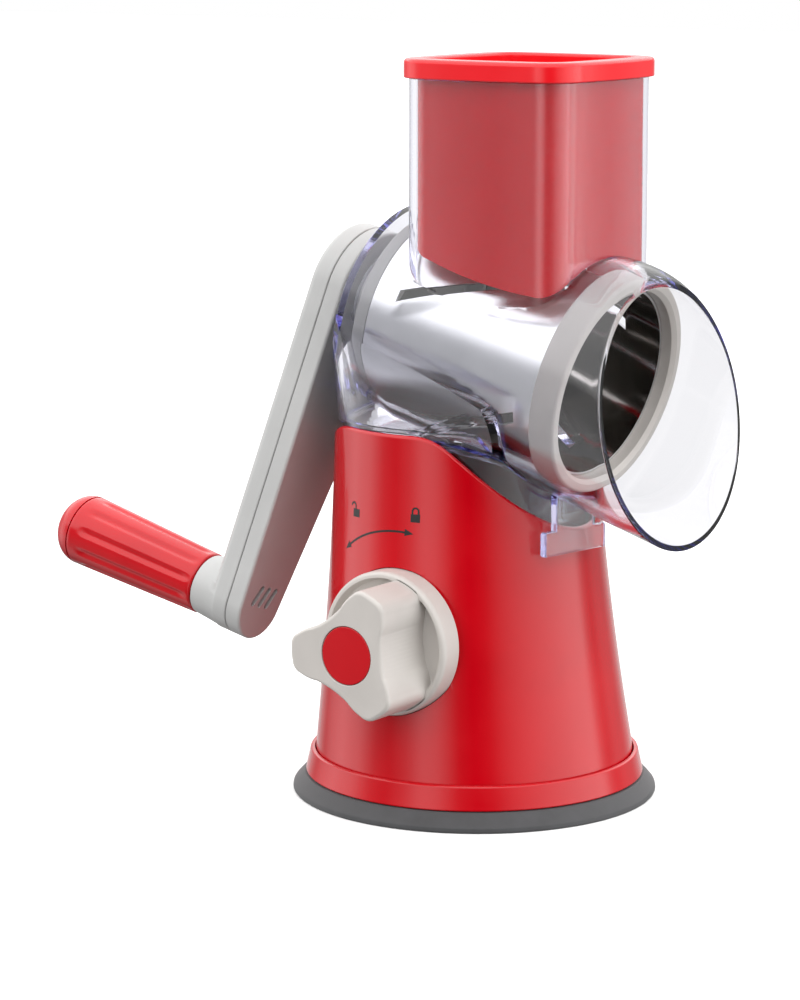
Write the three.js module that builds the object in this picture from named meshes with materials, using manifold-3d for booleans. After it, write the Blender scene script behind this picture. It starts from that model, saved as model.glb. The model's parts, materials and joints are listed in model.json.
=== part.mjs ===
// Rotary cheese grater: a suction-footed stand, a clear drum housing with a square hopper,
// a steel slicing drum, a hand crank and a food pusher. Millimetres, +Z up. The origin is the
// middle of the foot's underside, the outlet faces -Y, the crank is at +Y, the lock knob at -X.
import * as THREE from "three";
import { ConvexGeometry } from "three/addons/geometries/ConvexGeometry.js";
import { mergeVertices } from "three/addons/utils/BufferGeometryUtils.js";
import Module from "manifold-3d";

const wasm = await Module();
wasm.setup();

// ---- driving dimensions -------------------------------------------------------------------

const GAP = 0.3; // between pieces that touch or are fixed together
const RUN = 0.35; // radial clearance where one piece turns or slides in another

const FOOT_RADIUS = 65;
const FOOT_RIM = 6.2; // height of the rubber rim
const FOOT_RIM_WIDTH = 4.4; // the rim reaches inwards from the ring's edge by this
const FOOT_SKIRT = 4.6; // how far the rubber stands out past the ring
const MEMBRANE = 2.5; // thickness of the rubber across the middle

const RING_FOOT_RADIUS = FOOT_RADIUS - FOOT_SKIRT;
const RING_DRAFT = 1.9; // the ring is smaller at its top by this
const RING_TOP_RADIUS = RING_FOOT_RADIUS - RING_DRAFT;
const RING_STEP = 1.8; // the ledge that shows round the body
const RING_HEIGHT = 8.5;
const RING_FLANGE = 2.6; // thickness of the flange that the body stands on
const RING_FLANGE_WIDTH = 9;
const RING_LOW = FOOT_RIM + GAP;
const RING_TOP = RING_LOW + RING_HEIGHT;

const SHELL_RADIUS = 33.7; // outside of the drum's steel
const SHELL_SHEET = 0.8;
const SHELL_FRONT = 33.4; // from the pivot to the steel's front edge
const DRUM_BACK = 50.6; // from the pivot to the drum's rear face
const DRUM_DISC = 5;
const RING_OVER_SHELL = 5.15; // the front ring stands out past the steel
const DRUM_RING_RADIUS = SHELL_RADIUS + RING_OVER_SHELL;
const DRUM_RING_FRONT = 38.8;
const DRUM_RING_WIDTH = 10.2;
const COUPLING_RADIUS = 13.8;
const COUPLING_WALL = 2.2;
const FLAT_DEPTH = 1.4; // how deep the coupling's two flats are cut
const SLOT_COUNT = 4;
const SLOT_LENGTH = 60;
const SLOT_WIDTH = 4;
const SLOT_SLANT = THREE.MathUtils.degToRad(26);
const SLOT_TURN = THREE.MathUtils.degToRad(46); // of the first slot round the drum

const HOUSING_WALL = 2.2;
const SHELL_ROOM = 1.5; // between the steel and the housing at the rear
const RING_ROOM = 1.8; // between the drum's front ring and the housing
const REAR_ROOM = 3.5; // between the drum and the housing's rear wall
const HOUSING_BACK = DRUM_BACK + REAR_ROOM + HOUSING_WALL;
const HOUSING_BACK_RADIUS = SHELL_RADIUS + SHELL_ROOM + HOUSING_WALL;
const HOUSING_RING_RADIUS = DRUM_RING_RADIUS + RING_ROOM + HOUSING_WALL;
const OUTLET_FLARE = 3.2; // the outlet's rim stands out past the barrel by this
const OUTLET_RADIUS = HOUSING_RING_RADIUS + OUTLET_FLARE;
const OUTLET_REACH = 22.2; // from the drum's front to the middle of the outlet's rim
const HOUSING_FRONT = DRUM_RING_FRONT + OUTLET_REACH;
const OUTLET_TILT = THREE.MathUtils.degToRad(22.4); // the rim leans back from square
const OUTLET_DROP = 3; // the rim's middle hangs below the drum's axis by this
const BEARING_LENGTH = 7.4;
const BEARING_WALL = 3.4;

const BODY_FOOT_RADIUS = RING_TOP_RADIUS - RING_STEP;
const BODY_NECK_ROOM = 8.9; // the neck stands out past the housing's rear by this
const BODY_NECK_RADIUS = HOUSING_BACK_RADIUS + BODY_NECK_ROOM;
const BODY_TOP = 133;
const BODY_LEAN = 4; // how far the top's centre stands behind the foot's
const BODY_WALL = 2.6;
const SADDLE_ROOM = 8.65; // the body's top is hollowed this far outside the housing
const SADDLE_RADIUS = HOUSING_RING_RADIUS + SADDLE_ROOM;

const DRUM_OVER_BODY = 25.2; // from the body's top up to the drum's axis at the pivot
const DRUM_PIVOT = [0, -21.3, BODY_TOP + DRUM_OVER_BODY]; // a point on the drum's axis
const DRUM_TILT = THREE.MathUtils.degToRad(13.6); // the axis dips by this towards the outlet

const HOPPER_WIDTH = 68;
const HOPPER_CORNER = 14;
const HOPPER_WALL = 2.3;
const HOPPER_FORWARD = 0.3; // the hopper's middle stands before the drum's pivot by this
const HOPPER_Y = DRUM_PIVOT[1] - HOPPER_FORWARD;
const HOPPER_HEIGHT = 94.8; // from the drum's axis to the hopper's top
const HOPPER_TOP = DRUM_PIVOT[2] + HOPPER_HEIGHT;

const PUSHER_CLEARANCE = 0.7;
const PUSHER_WALL = 2.4;
const LIP_OVERHANG = 1.9;
const LIP_HEIGHT = 6.7;

const CRANK_ROOM = 1.8; // between the housing's bearing and the crank
const CRANK_FACE = HOUSING_BACK + BEARING_LENGTH + CRANK_ROOM;
const CRANK_THICKNESS = 14.9;
const CRANK_FRONT_SHELL = 6.6;
const CRANK_WALL = 2.2;
const SOCKET_RADIUS = COUPLING_RADIUS + RUN + BEARING_WALL;
const CRANK_HEAD_RIM = 5.85; // from the socket to the head's edge
const CRANK_HEAD_RADIUS = SOCKET_RADIUS + CRANK_HEAD_RIM;
const CRANK_TAIL_RADIUS = 12.3;
const CRANK_LENGTH = 119.2;
const CRANK_ANGLE = THREE.MathUtils.degToRad(17); // from hanging straight down, towards -X

const GRIP_BOSS = 9.5; // length of the cone between the arm and the grip
const GRIP_START = CRANK_FACE + CRANK_THICKNESS + GRIP_BOSS;
const GRIP_LENGTH = 58;
const GRIP_NEAR_RADIUS = 11.4;
const GRIP_FAR_RADIUS = 13.1;
const GRIP_DOME = 10;
const GRIP_FLUTES = 10;
const FLUTE_DEPTH = 0.7;
const GRIP_PIN = 9; // how far the spindle's end lies inside the grip's end
const SPINDLE_RADIUS = 3.8;

const KNOB_Z = 62; // height of the knob's axis
const COLLAR_RADIUS = 25.2;
const COLLAR_THICKNESS = 6;
const COLLAR_SINK = 1; // the collar's seat lies inside the body's side by this
const KNOB_LENGTH = 27.9; // from the collar's back to the lobes' face
const LOBE_RADIUS = 22.8;
const LOBE_VALLEY = 12.8;
const INLAY_RADIUS = 10;
const INLAY_THICKNESS = 1.6;

const SHAFT_RADIUS = 5;
const CAM_LOW = 7;
const CAM_LIFT = 4; // the suction membrane is pulled up by this over a quarter turn
const CAM_WIDTH = 7;
const CAM_CLEARANCE = 0.8;
const LIFT_ROD_RADIUS = 4;
const LIFT_PLATE_RADIUS = 22;
const LIFT_PLATE = 2.5;

const FLOOR_Z = 16; // underside of the floor plate
const FLOOR_PLATE = 3;
const TOWER_INNER = 9; // from the middle plane to a tower's inner face
const TOWER = 4; // thickness of a tower
const TOWER_WIDTH = 20;
const SCREW_RADIUS = 1.5;
const SCREW_HEAD_RADIUS = 3;
const SCREW_HEAD = 2;
const SCREW_INSET = 13.7; // from the body's foot in to the floor screws
const SCREW_RING = BODY_FOOT_RADIUS - SCREW_INSET;

const FINE = 40; // segments round a large piece
const COARSE = 16; // segments round a small piece
const SMALL = 12; // segments round a screw

// ---- solids -------------------------------------------------------------------------------

function solid(geometry) {
  const bare = geometry.index ? geometry.toNonIndexed() : geometry.clone();
  bare.deleteAttribute("normal");
  bare.deleteAttribute("uv");
  const merged = mergeVertices(bare, 1e-3);
  const mesh = new wasm.Mesh({
    numProp: 3,
    vertProperties: merged.attributes.position.array,
    triVerts: new Uint32Array(merged.index.array),
  });
  const made = new wasm.Manifold(mesh);
  if (made.volume() >= 0) return made;
  return solid(turnedOver(merged));
}

function turnedOver(geometry) {
  const index = Array.from(geometry.index.array);
  for (let i = 0; i < index.length; i += 3) {
    [index[i + 1], index[i + 2]] = [index[i + 2], index[i + 1]];
  }
  return geometry.clone().setIndex(index);
}

function geometryOf(made) {
  const mesh = made.getMesh();
  return new THREE.BufferGeometry()
    .setAttribute("position", new THREE.BufferAttribute(mesh.vertProperties, 3))
    .setIndex(new THREE.BufferAttribute(mesh.triVerts, 1));
}

const join = (first, ...others) => others.reduce((sum, next) => sum.add(next), first);
const cut = (first, ...others) => others.reduce((left, next) => left.subtract(next), first);

// A profile of [radius, height] points turned about Z. It is closed by its own last point.
function turned(profile, segments = FINE) {
  const onAxis = profile[0][0] === 0 && profile.at(-1)[0] === 0;
  const points = onAxis ? profile : [...profile, profile[0]];
  const outline = points.map(([r, z]) => new THREE.Vector2(r, z));
  return new THREE.LatheGeometry(outline, segments).rotateX(Math.PI / 2);
}

function tube(inner, outer, low, high, segments = FINE) {
  return turned([[inner, low], [outer, low], [outer, high], [inner, high]], segments);
}

function rod(radius, low, high, segments = COARSE) {
  return turned([[0, low], [radius, low], [radius, high], [0, high]], segments);
}

function block(width, depth, height, x, y, z) {
  return new THREE.BoxGeometry(width, depth, height).translate(x, y, z);
}

function extruded(shape, low, high, steps = 8) {
  const options = { depth: high - low, bevelEnabled: false, curveSegments: steps };
  return new THREE.ExtrudeGeometry(shape, options).translate(0, 0, low);
}

// A square outline with rounded corners, centred on the origin.
function roundedSquare(width, corner) {
  const half = width / 2;
  const flat = half - corner;
  const shape = new THREE.Shape();
  shape.absarc(flat, flat, corner, 0, Math.PI / 2);
  shape.absarc(-flat, flat, corner, Math.PI / 2, Math.PI);
  shape.absarc(-flat, -flat, corner, Math.PI, 1.5 * Math.PI);
  shape.absarc(flat, -flat, corner, 1.5 * Math.PI, 2 * Math.PI);
  return shape;
}

// Moves each vertex of a geometry by the rule given.
function shaped(geometry, rule) {
  const position = geometry.attributes.position;
  const point = new THREE.Vector3();
  for (let i = 0; i < position.count; i++) {
    point.fromBufferAttribute(position, i);
    rule(point);
    position.setXYZ(i, point.x, point.y, point.z);
  }
  return geometry;
}

// ---- frames -------------------------------------------------------------------------------

// The drum's frame: its +Z runs forward along the axis and its +Y is up.
const drumFrame = new THREE.Group();
drumFrame.position.set(...DRUM_PIVOT);
drumFrame.rotation.x = Math.PI / 2 + DRUM_TILT;
drumFrame.updateMatrixWorld(true);

// The crank's frame shares the drum's origin, and its -Y runs down the arm.
const crankFrame = new THREE.Group();
crankFrame.rotation.z = -CRANK_ANGLE;
drumFrame.add(crankFrame);

// The grip's frame is the crank's, moved to the end of the arm.
const gripFrame = new THREE.Group();
gripFrame.position.y = -CRANK_LENGTH;
crankFrame.add(gripFrame);

// The knob's frame: its +Z points out of the body, along -X, and its +Y is up.
const knobFrame = new THREE.Group();
knobFrame.position.set(0, 0, KNOB_Z);
knobFrame.rotation.setFromRotationMatrix(
  new THREE.Matrix4().makeBasis(
    new THREE.Vector3(0, -1, 0),
    new THREE.Vector3(0, 0, 1),
    new THREE.Vector3(-1, 0, 0),
  ),
);
knobFrame.updateMatrixWorld(true);

const grater = new THREE.Group();
grater.add(drumFrame, knobFrame);

const inFrame = (frame, geometry) => geometry.applyMatrix4(frame.matrixWorld);

// ---- materials ----------------------------------------------------------------------------

const RED = { color: 0xbe1b26, roughness: 0.25, metalness: 0 };
const GREY = { color: 0xd5d5d5, roughness: 0.4, metalness: 0 };
const RUBBER = { color: 0x3e3e40, roughness: 0.8, metalness: 0 };
const CLEAR = { color: 0xe6e6f4, roughness: 0.05, metalness: 0, transparent: true, opacity: 0.35 };
const POLISHED = { color: 0xc9ccd0, roughness: 0.12, metalness: 1 };
const ZINC = { color: 0xa9adb2, roughness: 0.4, metalness: 1 };
const DARK = { color: 0x55585c, roughness: 0.6, metalness: 0 };

function piece(name, made, look, parent = grater) {
  const mesh = new THREE.Mesh(geometryOf(made), new THREE.MeshStandardMaterial(look));
  mesh.name = name;
  parent.add(mesh);
  return mesh;
}

// ---- foot, ring and body ------------------------------------------------------------------

function suctionFoot() {
  const skirt = RING_FOOT_RADIUS + GAP;
  const rim = RING_FOOT_RADIUS - FOOT_RIM_WIDTH - RING_STEP - RING_DRAFT;
  return solid(
    turned([
      [0, 0],
      [FOOT_RADIUS - EDGE, 0],
      [FOOT_RADIUS, EDGE],
      [FOOT_RADIUS - EDGE / 2, FOOT_RIM / 3],
      [skirt, FOOT_RIM],
      [rim, FOOT_RIM],
      [rim - (FOOT_RIM - MEMBRANE), MEMBRANE],
      [0, MEMBRANE],
    ]),
  );
}

const BODY_LOW = RING_LOW + RING_FLANGE + GAP;
const EDGE = 0.8; // the usual bevel along an outer edge

function baseRing() {
  const bore = BODY_FOOT_RADIUS + GAP;
  const flangeTop = RING_LOW + RING_FLANGE;
  return solid(
    turned([
      [bore - RING_FLANGE_WIDTH, RING_LOW],
      [RING_FOOT_RADIUS - EDGE, RING_LOW],
      [RING_FOOT_RADIUS, RING_LOW + EDGE],
      [RING_TOP_RADIUS, RING_TOP - EDGE],
      [RING_TOP_RADIUS - EDGE, RING_TOP],
      [bore, RING_TOP],
      [bore, flangeTop],
      [bore - RING_FLANGE_WIDTH, flangeTop],
    ]),
  );
}

// How far down the body's flare a height is: 1 at the foot and 0 at the neck.
function flare(z) {
  const up = THREE.MathUtils.clamp((z - RING_TOP) / (BODY_TOP - RING_TOP), 0, 1);
  return (1 - up) ** 1.5;
}

const bodyRadius = (z) => THREE.MathUtils.lerp(BODY_NECK_RADIUS, BODY_FOOT_RADIUS, flare(z));
const bodyCentre = (z) => BODY_LEAN * (1 - flare(z));

// A solid of the body's shape between two heights, smaller all round by the inset.
function bodyForm(inset, low, high, steps = 5) {
  const side = [];
  for (let i = 0; i <= steps; i++) {
    const z = THREE.MathUtils.lerp(low, high, i / steps);
    side.push([bodyRadius(z) - inset, z]);
  }
  const form = turned([[0, low], ...side, [0, high]]);
  return solid(shaped(form, (p) => (p.y += bodyCentre(p.z))));
}

const SPIGOT_DEPTH = 41; // the housing reaches this far down inside the body
const LEDGE_Z = BODY_TOP - SPIGOT_DEPTH; // the ledge that the housing stands on
const LEDGE = 2.5;
const LEDGE_WIDTH = 8;

const COLLAR_SEAT = bodyRadius(KNOB_Z) - COLLAR_SINK; // from the middle plane to the seat
const COLLAR_LOW = COLLAR_SEAT + GAP;
const KNOB_FRONT = COLLAR_LOW + KNOB_LENGTH;
const SHAFT_OUTER = COLLAR_LOW + 11.5; // from the middle plane to the shaft's end in the knob
const SHAFT_INNER = 20;
const FAR = 120; // cuts that run right through the grater end this far out

const POST_HEIGHT = 20; // of the posts that the floor screws bite into
const SCREW_LENGTH = 15;

function floorScrewPlaces() {
  return [90, 210, 330].map((degrees) => {
    const angle = THREE.MathUtils.degToRad(degrees);
    return [SCREW_RING * Math.cos(angle), SCREW_RING * Math.sin(angle), angle];
  });
}

function bodyShell() {
  const postLow = FLOOR_Z + FLOOR_PLATE + GAP;
  const postHigh = postLow + POST_HEIGHT;
  const postRadius = SCREW_RADIUS + 3;
  let shell = cut(
    bodyForm(0, BODY_LOW, BODY_TOP),
    bodyForm(BODY_WALL, BODY_LOW - 1, LEDGE_Z - LEDGE),
    bodyForm(BODY_WALL + LEDGE_WIDTH, LEDGE_Z - LEDGE - 1, LEDGE_Z + 1, 2),
    bodyForm(BODY_WALL, LEDGE_Z, BODY_TOP + 1),
  );
  const inside = bodyForm(BODY_WALL / 2, BODY_LOW, BODY_TOP);
  const posts = floorScrewPlaces().map(([x, y, angle]) => {
    const middle = (postLow + postHigh) / 2;
    const rib = block(SCREW_INSET, BODY_WALL, POST_HEIGHT, SCREW_RING + SCREW_INSET / 2, 0, middle);
    const post = rod(postRadius, postLow, postHigh).translate(x, y, 0);
    return join(solid(post), solid(rib.rotateZ(angle)));
  });
  const seatRadius = COLLAR_RADIUS + GAP + BODY_WALL;
  const seat = inFrame(knobFrame, rod(seatRadius, COLLAR_SEAT - BODY_WALL, FAR, FINE));
  shell = join(shell, join(...posts, solid(seat)).intersect(inside));
  const pilots = floorScrewPlaces().map(([x, y]) =>
    solid(rod(SCREW_RADIUS + GAP, postLow - 1, postLow + SCREW_LENGTH, SMALL).translate(x, y, 0)),
  );
  const saddle = inFrame(drumFrame, rod(SADDLE_RADIUS, -FAR, FAR, FINE));
  const recess = inFrame(knobFrame, rod(COLLAR_RADIUS + 2 * GAP, COLLAR_SEAT, FAR, FINE));
  const shaftHole = inFrame(knobFrame, rod(SHAFT_RADIUS + RUN, COLLAR_SEAT - 2 * BODY_WALL, FAR));
  return cut(shell, solid(saddle), solid(recess), solid(shaftHole), ...pilots);
}

// ---- suction lock -------------------------------------------------------------------------

function floorPlate() {
  const top = FLOOR_Z + FLOOR_PLATE;
  const towerTop = KNOB_Z + SHAFT_RADIUS + TOWER;
  const edge = bodyRadius(top) - BODY_WALL - 4 * GAP;
  const plate = turned([
    [LIFT_ROD_RADIUS + RUN, FLOOR_Z],
    [edge - FLOOR_PLATE, FLOOR_Z],
    [edge - FLOOR_PLATE, BODY_LOW],
    [edge, BODY_LOW],
    [edge, top],
    [LIFT_ROD_RADIUS + RUN, top],
  ]);
  const towers = [-1, 1].map((side) => {
    const x = side * (TOWER_INNER + TOWER / 2);
    const height = towerTop - FLOOR_Z;
    return solid(block(TOWER, TOWER_WIDTH, height, x, 0, FLOOR_Z + height / 2));
  });
  const bearing = inFrame(knobFrame, rod(SHAFT_RADIUS + RUN, -SHAFT_INNER, SHAFT_INNER));
  const screwHoles = floorScrewPlaces().map(([x, y]) =>
    solid(rod(SCREW_RADIUS + GAP, FLOOR_Z - 1, top + 1, SMALL).translate(x, y, 0)),
  );
  return cut(join(solid(plate), ...towers), solid(bearing), ...screwHoles);
}

function floorScrew() {
  const head = FLOOR_Z - GAP;
  return solid(
    turned(
      [
        [0, head - SCREW_HEAD],
        [SCREW_HEAD_RADIUS, head - SCREW_HEAD],
        [SCREW_HEAD_RADIUS, head],
        [SCREW_RADIUS, head],
        [SCREW_RADIUS, head + SCREW_LENGTH - 1],
        [0, head + SCREW_LENGTH],
      ],
      SMALL,
    ),
  );
}

// A snail cam: over the working quarter turn its radius grows evenly from low to high.
function camOutline() {
  const shape = new THREE.Shape();
  const steps = 32;
  const high = CAM_LOW + CAM_LIFT;
  for (let i = 0; i < steps; i++) {
    const turn = i / steps;
    const rise = Math.min(turn * 4, 1);
    const fall = Math.max((turn - 0.3) / 0.7, 0);
    const radius = CAM_LOW + CAM_LIFT * rise - (high - CAM_LOW) * fall;
    const angle = Math.PI / 2 + turn * 2 * Math.PI;
    const [x, y] = [radius * Math.cos(angle), radius * Math.sin(angle)];
    if (i) shape.lineTo(x, y);
    else shape.moveTo(x, y);
  }
  shape.closePath();
  return shape;
}

const CLIP = 1.5; // thickness of the shaft's clip, and depth of its groove
const KNOB_SCREW_BITE = 10; // how far the knob's screw reaches into the shaft

function camShaft() {
  const groove = -(TOWER_INNER + TOWER + GAP);
  const neck = SHAFT_RADIUS - CLIP;
  const body = turned(
    [
      [0, -SHAFT_INNER],
      [SHAFT_RADIUS, -SHAFT_INNER],
      [SHAFT_RADIUS, groove - CLIP - 2 * GAP],
      [neck, groove - CLIP - 2 * GAP],
      [neck, groove],
      [SHAFT_RADIUS, groove],
      [SHAFT_RADIUS, SHAFT_OUTER],
      [0, SHAFT_OUTER],
    ],
    COARSE,
  );
  const cam = extruded(camOutline(), -CAM_WIDTH / 2, CAM_WIDTH / 2);
  const pilotLow = SHAFT_OUTER - KNOB_SCREW_BITE - 2;
  const pilot = rod(SCREW_RADIUS + GAP, pilotLow, SHAFT_OUTER + 1, SMALL);
  return cut(join(solid(body), solid(cam)), solid(pilot));
}

function shaftClip() {
  const high = -(TOWER_INNER + TOWER + 2 * GAP);
  const outer = SHAFT_RADIUS + 2 * CLIP;
  const ring = tube(SHAFT_RADIUS - CLIP + GAP, outer, high - CLIP, high, COARSE);
  const mouth = block(SHAFT_RADIUS, outer, 2 * CLIP, 0, -outer / 2, high - CLIP / 2);
  return cut(solid(ring), solid(mouth));
}

// The plate bonded to the rubber, and the rod and yoke that the cam lifts.
const LIFT_PLATE_Z = MEMBRANE + GAP;
const STEM_RADIUS = 2.5; // of the rod's end inside the plate

function liftPlate() {
  const top = LIFT_PLATE_Z + LIFT_PLATE;
  return solid(tube(STEM_RADIUS + GAP, LIFT_PLATE_RADIUS, LIFT_PLATE_Z, top, COARSE));
}

const YOKE_RIM = 5; // width of the yoke's frame round the cam's window

function liftYoke() {
  const low = LIFT_PLATE_Z + LIFT_PLATE + GAP;
  const reach = CAM_LOW + CAM_LIFT;
  const windowTop = KNOB_Z + CAM_LOW + CAM_CLEARANCE;
  const windowLow = KNOB_Z - reach - CAM_LIFT - 2 * CAM_CLEARANCE;
  const windowHalf = reach + 2 * CAM_CLEARANCE;
  const frameHalf = windowHalf + YOKE_RIM;
  const frameLow = windowLow - YOKE_RIM;
  const frameTop = windowTop + YOKE_RIM;
  const middle = (frameLow + frameTop) / 2;
  const frame = block(CAM_WIDTH + 1, 2 * frameHalf, frameTop - frameLow, 0, 0, middle);
  const windowMiddle = (windowTop + windowLow) / 2;
  const hole = block(3 * CAM_WIDTH, 2 * windowHalf, windowTop - windowLow, 0, 0, windowMiddle);
  const stem = turned(
    [
      [0, LIFT_PLATE_Z],
      [STEM_RADIUS, LIFT_PLATE_Z],
      [STEM_RADIUS, low],
      [LIFT_ROD_RADIUS, low],
      [LIFT_ROD_RADIUS, frameLow + 1],
      [0, frameLow + 1],
    ],
    COARSE,
  );
  return cut(join(solid(frame), solid(stem)), solid(hole));
}

class Coil extends THREE.Curve {
  constructor(radius, low, high, turns) {
    super();
    Object.assign(this, { radius, low, high, turns });
  }

  getPoint(t, target = new THREE.Vector3()) {
    const angle = t * this.turns * 2 * Math.PI;
    const height = THREE.MathUtils.lerp(this.low, this.high, t);
    return target.set(this.radius * Math.cos(angle), this.radius * Math.sin(angle), height);
  }
}

function returnSpring() {
  const wire = 0.6; // radius
  const coil = LIFT_ROD_RADIUS + 4;
  const low = LIFT_PLATE_Z + LIFT_PLATE + GAP + wire;
  const path = new Coil(coil, low, FLOOR_Z - GAP - wire, 3);
  const section = new THREE.Shape().absarc(0, 0, wire, 0, 2 * Math.PI);
  const options = { steps: 42, extrudePath: path, curveSegments: 3, bevelEnabled: false };
  return solid(new THREE.ExtrudeGeometry(section, options));
}

// ---- lock knob ----------------------------------------------------------------------------

// Three round lobes, one of them pointing to the body's rear.
function lobeOutline(shrink) {
  const shape = new THREE.Shape();
  const steps = 48;
  const mean = (LOBE_RADIUS + LOBE_VALLEY) / 2 - shrink;
  const swing = (LOBE_RADIUS - LOBE_VALLEY) / 2;
  const lead = THREE.MathUtils.degToRad(185);
  for (let i = 0; i < steps; i++) {
    const angle = (i / steps) * 2 * Math.PI;
    const radius = mean + swing * Math.cos(3 * (angle - lead));
    const [x, y] = [radius * Math.cos(angle), radius * Math.sin(angle)];
    if (i) shape.lineTo(x, y);
    else shape.moveTo(x, y);
  }
  shape.closePath();
  return shape;
}

const KNOB_SCREW_FLOOR = 4; // thickness of plastic under the knob's screw head

function lockKnob() {
  const collarTop = COLLAR_LOW + COLLAR_THICKNESS;
  const pocket = 3.2; // depth of the dish between the lobes
  const rim = 3.6; // width of the dish's rim
  const collar = turned([
    [0, COLLAR_LOW],
    [COLLAR_RADIUS, COLLAR_LOW],
    [COLLAR_RADIUS, collarTop - 2 * EDGE],
    [COLLAR_RADIUS - 3 * EDGE, collarTop],
    [0, collarTop],
  ]);
  const hollow = rod(COLLAR_RADIUS - rim, collarTop - pocket, collarTop + 1, FINE);
  const lobes = extruded(lobeOutline(0), COLLAR_LOW + 1, KNOB_FRONT);
  const bore = rod(SHAFT_RADIUS + GAP, COLLAR_LOW - 1, SHAFT_OUTER + GAP);
  const screwWay = rod(SCREW_RADIUS + GAP, SHAFT_OUTER - 1, KNOB_FRONT, SMALL);
  const headWay = rod(SCREW_HEAD_RADIUS + 1, SHAFT_OUTER + KNOB_SCREW_FLOOR, KNOB_FRONT);
  const inlaySeat = rod(INLAY_RADIUS + GAP, KNOB_FRONT - INLAY_THICKNESS, KNOB_FRONT + 1);
  const knob = join(cut(solid(collar), solid(hollow)), solid(lobes));
  return cut(knob, solid(bore), solid(screwWay), solid(headWay), solid(inlaySeat));
}

function knobInlay() {
  const back = KNOB_FRONT - INLAY_THICKNESS + GAP;
  const profile = [[0, back], [INLAY_RADIUS, back], [INLAY_RADIUS, KNOB_FRONT], [0, KNOB_FRONT]];
  return solid(turned(profile, FINE));
}

function knobScrew() {
  const seat = SHAFT_OUTER + KNOB_SCREW_FLOOR + GAP;
  const tip = SHAFT_OUTER - KNOB_SCREW_BITE;
  return solid(
    turned(
      [
        [0, tip],
        [SCREW_RADIUS, tip + 1],
        [SCREW_RADIUS, seat],
        [SCREW_HEAD_RADIUS, seat],
        [SCREW_HEAD_RADIUS, seat + SCREW_HEAD],
        [0, seat + SCREW_HEAD],
      ],
      SMALL,
    ),
  );
}

// ---- clear housing ------------------------------------------------------------------------

// The barrel's radius at a distance forward of the pivot, before its rings are leaned.
function barrelRadius(s) {
  const ringBack = DRUM_RING_FRONT - DRUM_RING_WIDTH;
  if (s < ringBack) {
    const along = (s + HOUSING_BACK) / (ringBack + HOUSING_BACK);
    return THREE.MathUtils.lerp(HOUSING_BACK_RADIUS, HOUSING_RING_RADIUS, along ** 2);
  }
  const out = (s - ringBack) / (HOUSING_FRONT - ringBack);
  return THREE.MathUtils.lerp(HOUSING_RING_RADIUS, OUTLET_RADIUS, out);
}

// Leans the rings of the barrel back, more and more towards the outlet's rim.
function leanRings(point) {
  const out = THREE.MathUtils.clamp(point.z / HOUSING_FRONT, 0, 1.1);
  const lean = OUTLET_TILT * out ** 2;
  const height = point.y;
  point.y = height * Math.cos(lean) - OUTLET_DROP * out ** 4;
  point.z -= height * Math.sin(lean);
}

// A solid of the barrel's shape from one place on the axis to another.
function barrelForm(inset, from, to) {
  const steps = 6;
  const side = [];
  for (let i = 0; i <= steps; i++) {
    const s = THREE.MathUtils.lerp(from, to, i / steps);
    side.push([barrelRadius(s) - inset, s]);
  }
  const form = turned([[0, from], ...side, [0, to]]);
  return solid(inFrame(drumFrame, shaped(form, leanRings)));
}

// The foot of the housing, drawn in from the body's round top to the barrel's sides.
const SHOULDER_Z = BODY_TOP + GAP;

function neckForm(inset) {
  const points = [];
  const topRadius = HOUSING_BACK_RADIUS - inset;
  const footRadius = BODY_NECK_RADIUS - 1 - inset;
  const footCentre = bodyCentre(BODY_TOP);
  for (let i = 0; i < FINE; i++) {
    const angle = (i / FINE) * 2 * Math.PI;
    const x = footRadius * Math.cos(angle);
    const y = footCentre + footRadius * Math.sin(angle);
    points.push(new THREE.Vector3(x, y, SHOULDER_Z));
  }
  const arcSteps = 12;
  for (let i = 0; i <= arcSteps; i++) {
    const angle = Math.PI + (i / arcSteps) * Math.PI;
    for (const s of [-HOUSING_BACK + inset, SHELL_FRONT - RING_OVER_SHELL]) {
      const place = new THREE.Vector3(topRadius * Math.cos(angle), topRadius * Math.sin(angle), s);
      points.push(place.applyMatrix4(drumFrame.matrixWorld));
    }
  }
  return solid(new ConvexGeometry(points));
}

const TAB_WIDTH = 31;
const TAB_HEIGHT = 8.6;
const TAB_DROP = 32.5; // the tab's upper edge hangs this far below the body's top
const TAB_TOP = BODY_TOP - TAB_DROP;
const TAB_THICKNESS = 3;
const TAB_GAP = 0.6;
const TAB_TURN = THREE.MathUtils.degToRad(-10); // the tab stands a little to the knob's side
const TAB_STEM = 20;

function clipTab() {
  const y = -bodyRadius(TAB_TOP - TAB_HEIGHT) - TAB_GAP - TAB_THICKNESS / 2;
  const bar = block(TAB_WIDTH, TAB_THICKNESS, TAB_HEIGHT, 0, y, TAB_TOP - TAB_HEIGHT / 2);
  const stemHeight = DRUM_PIVOT[2] - HOUSING_RING_RADIUS + 3 - TAB_TOP;
  const stem = block(TAB_STEM, TAB_THICKNESS, stemHeight + 4, 0, y, TAB_TOP + stemHeight / 2);
  const place = (geometry) => geometry.rotateZ(TAB_TURN).translate(0, bodyCentre(TAB_TOP), 0);
  return join(solid(place(bar)), solid(place(stem)));
}

function hopperForm(inset, low, high) {
  const outline = roundedSquare(HOPPER_WIDTH - 2 * inset, HOPPER_CORNER - inset);
  return solid(extruded(outline, low, high, 6).translate(0, HOPPER_Y, 0));
}

// What the body fills below the housing's shoulder, with a gap all round.
function bodyClearance() {
  const filled = bodyForm(-GAP, LEDGE_Z, SHOULDER_Z, 3);
  const saddle = inFrame(drumFrame, rod(SADDLE_RADIUS - 2 * GAP, -FAR, FAR, FINE));
  return cut(filled, solid(saddle));
}

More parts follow.
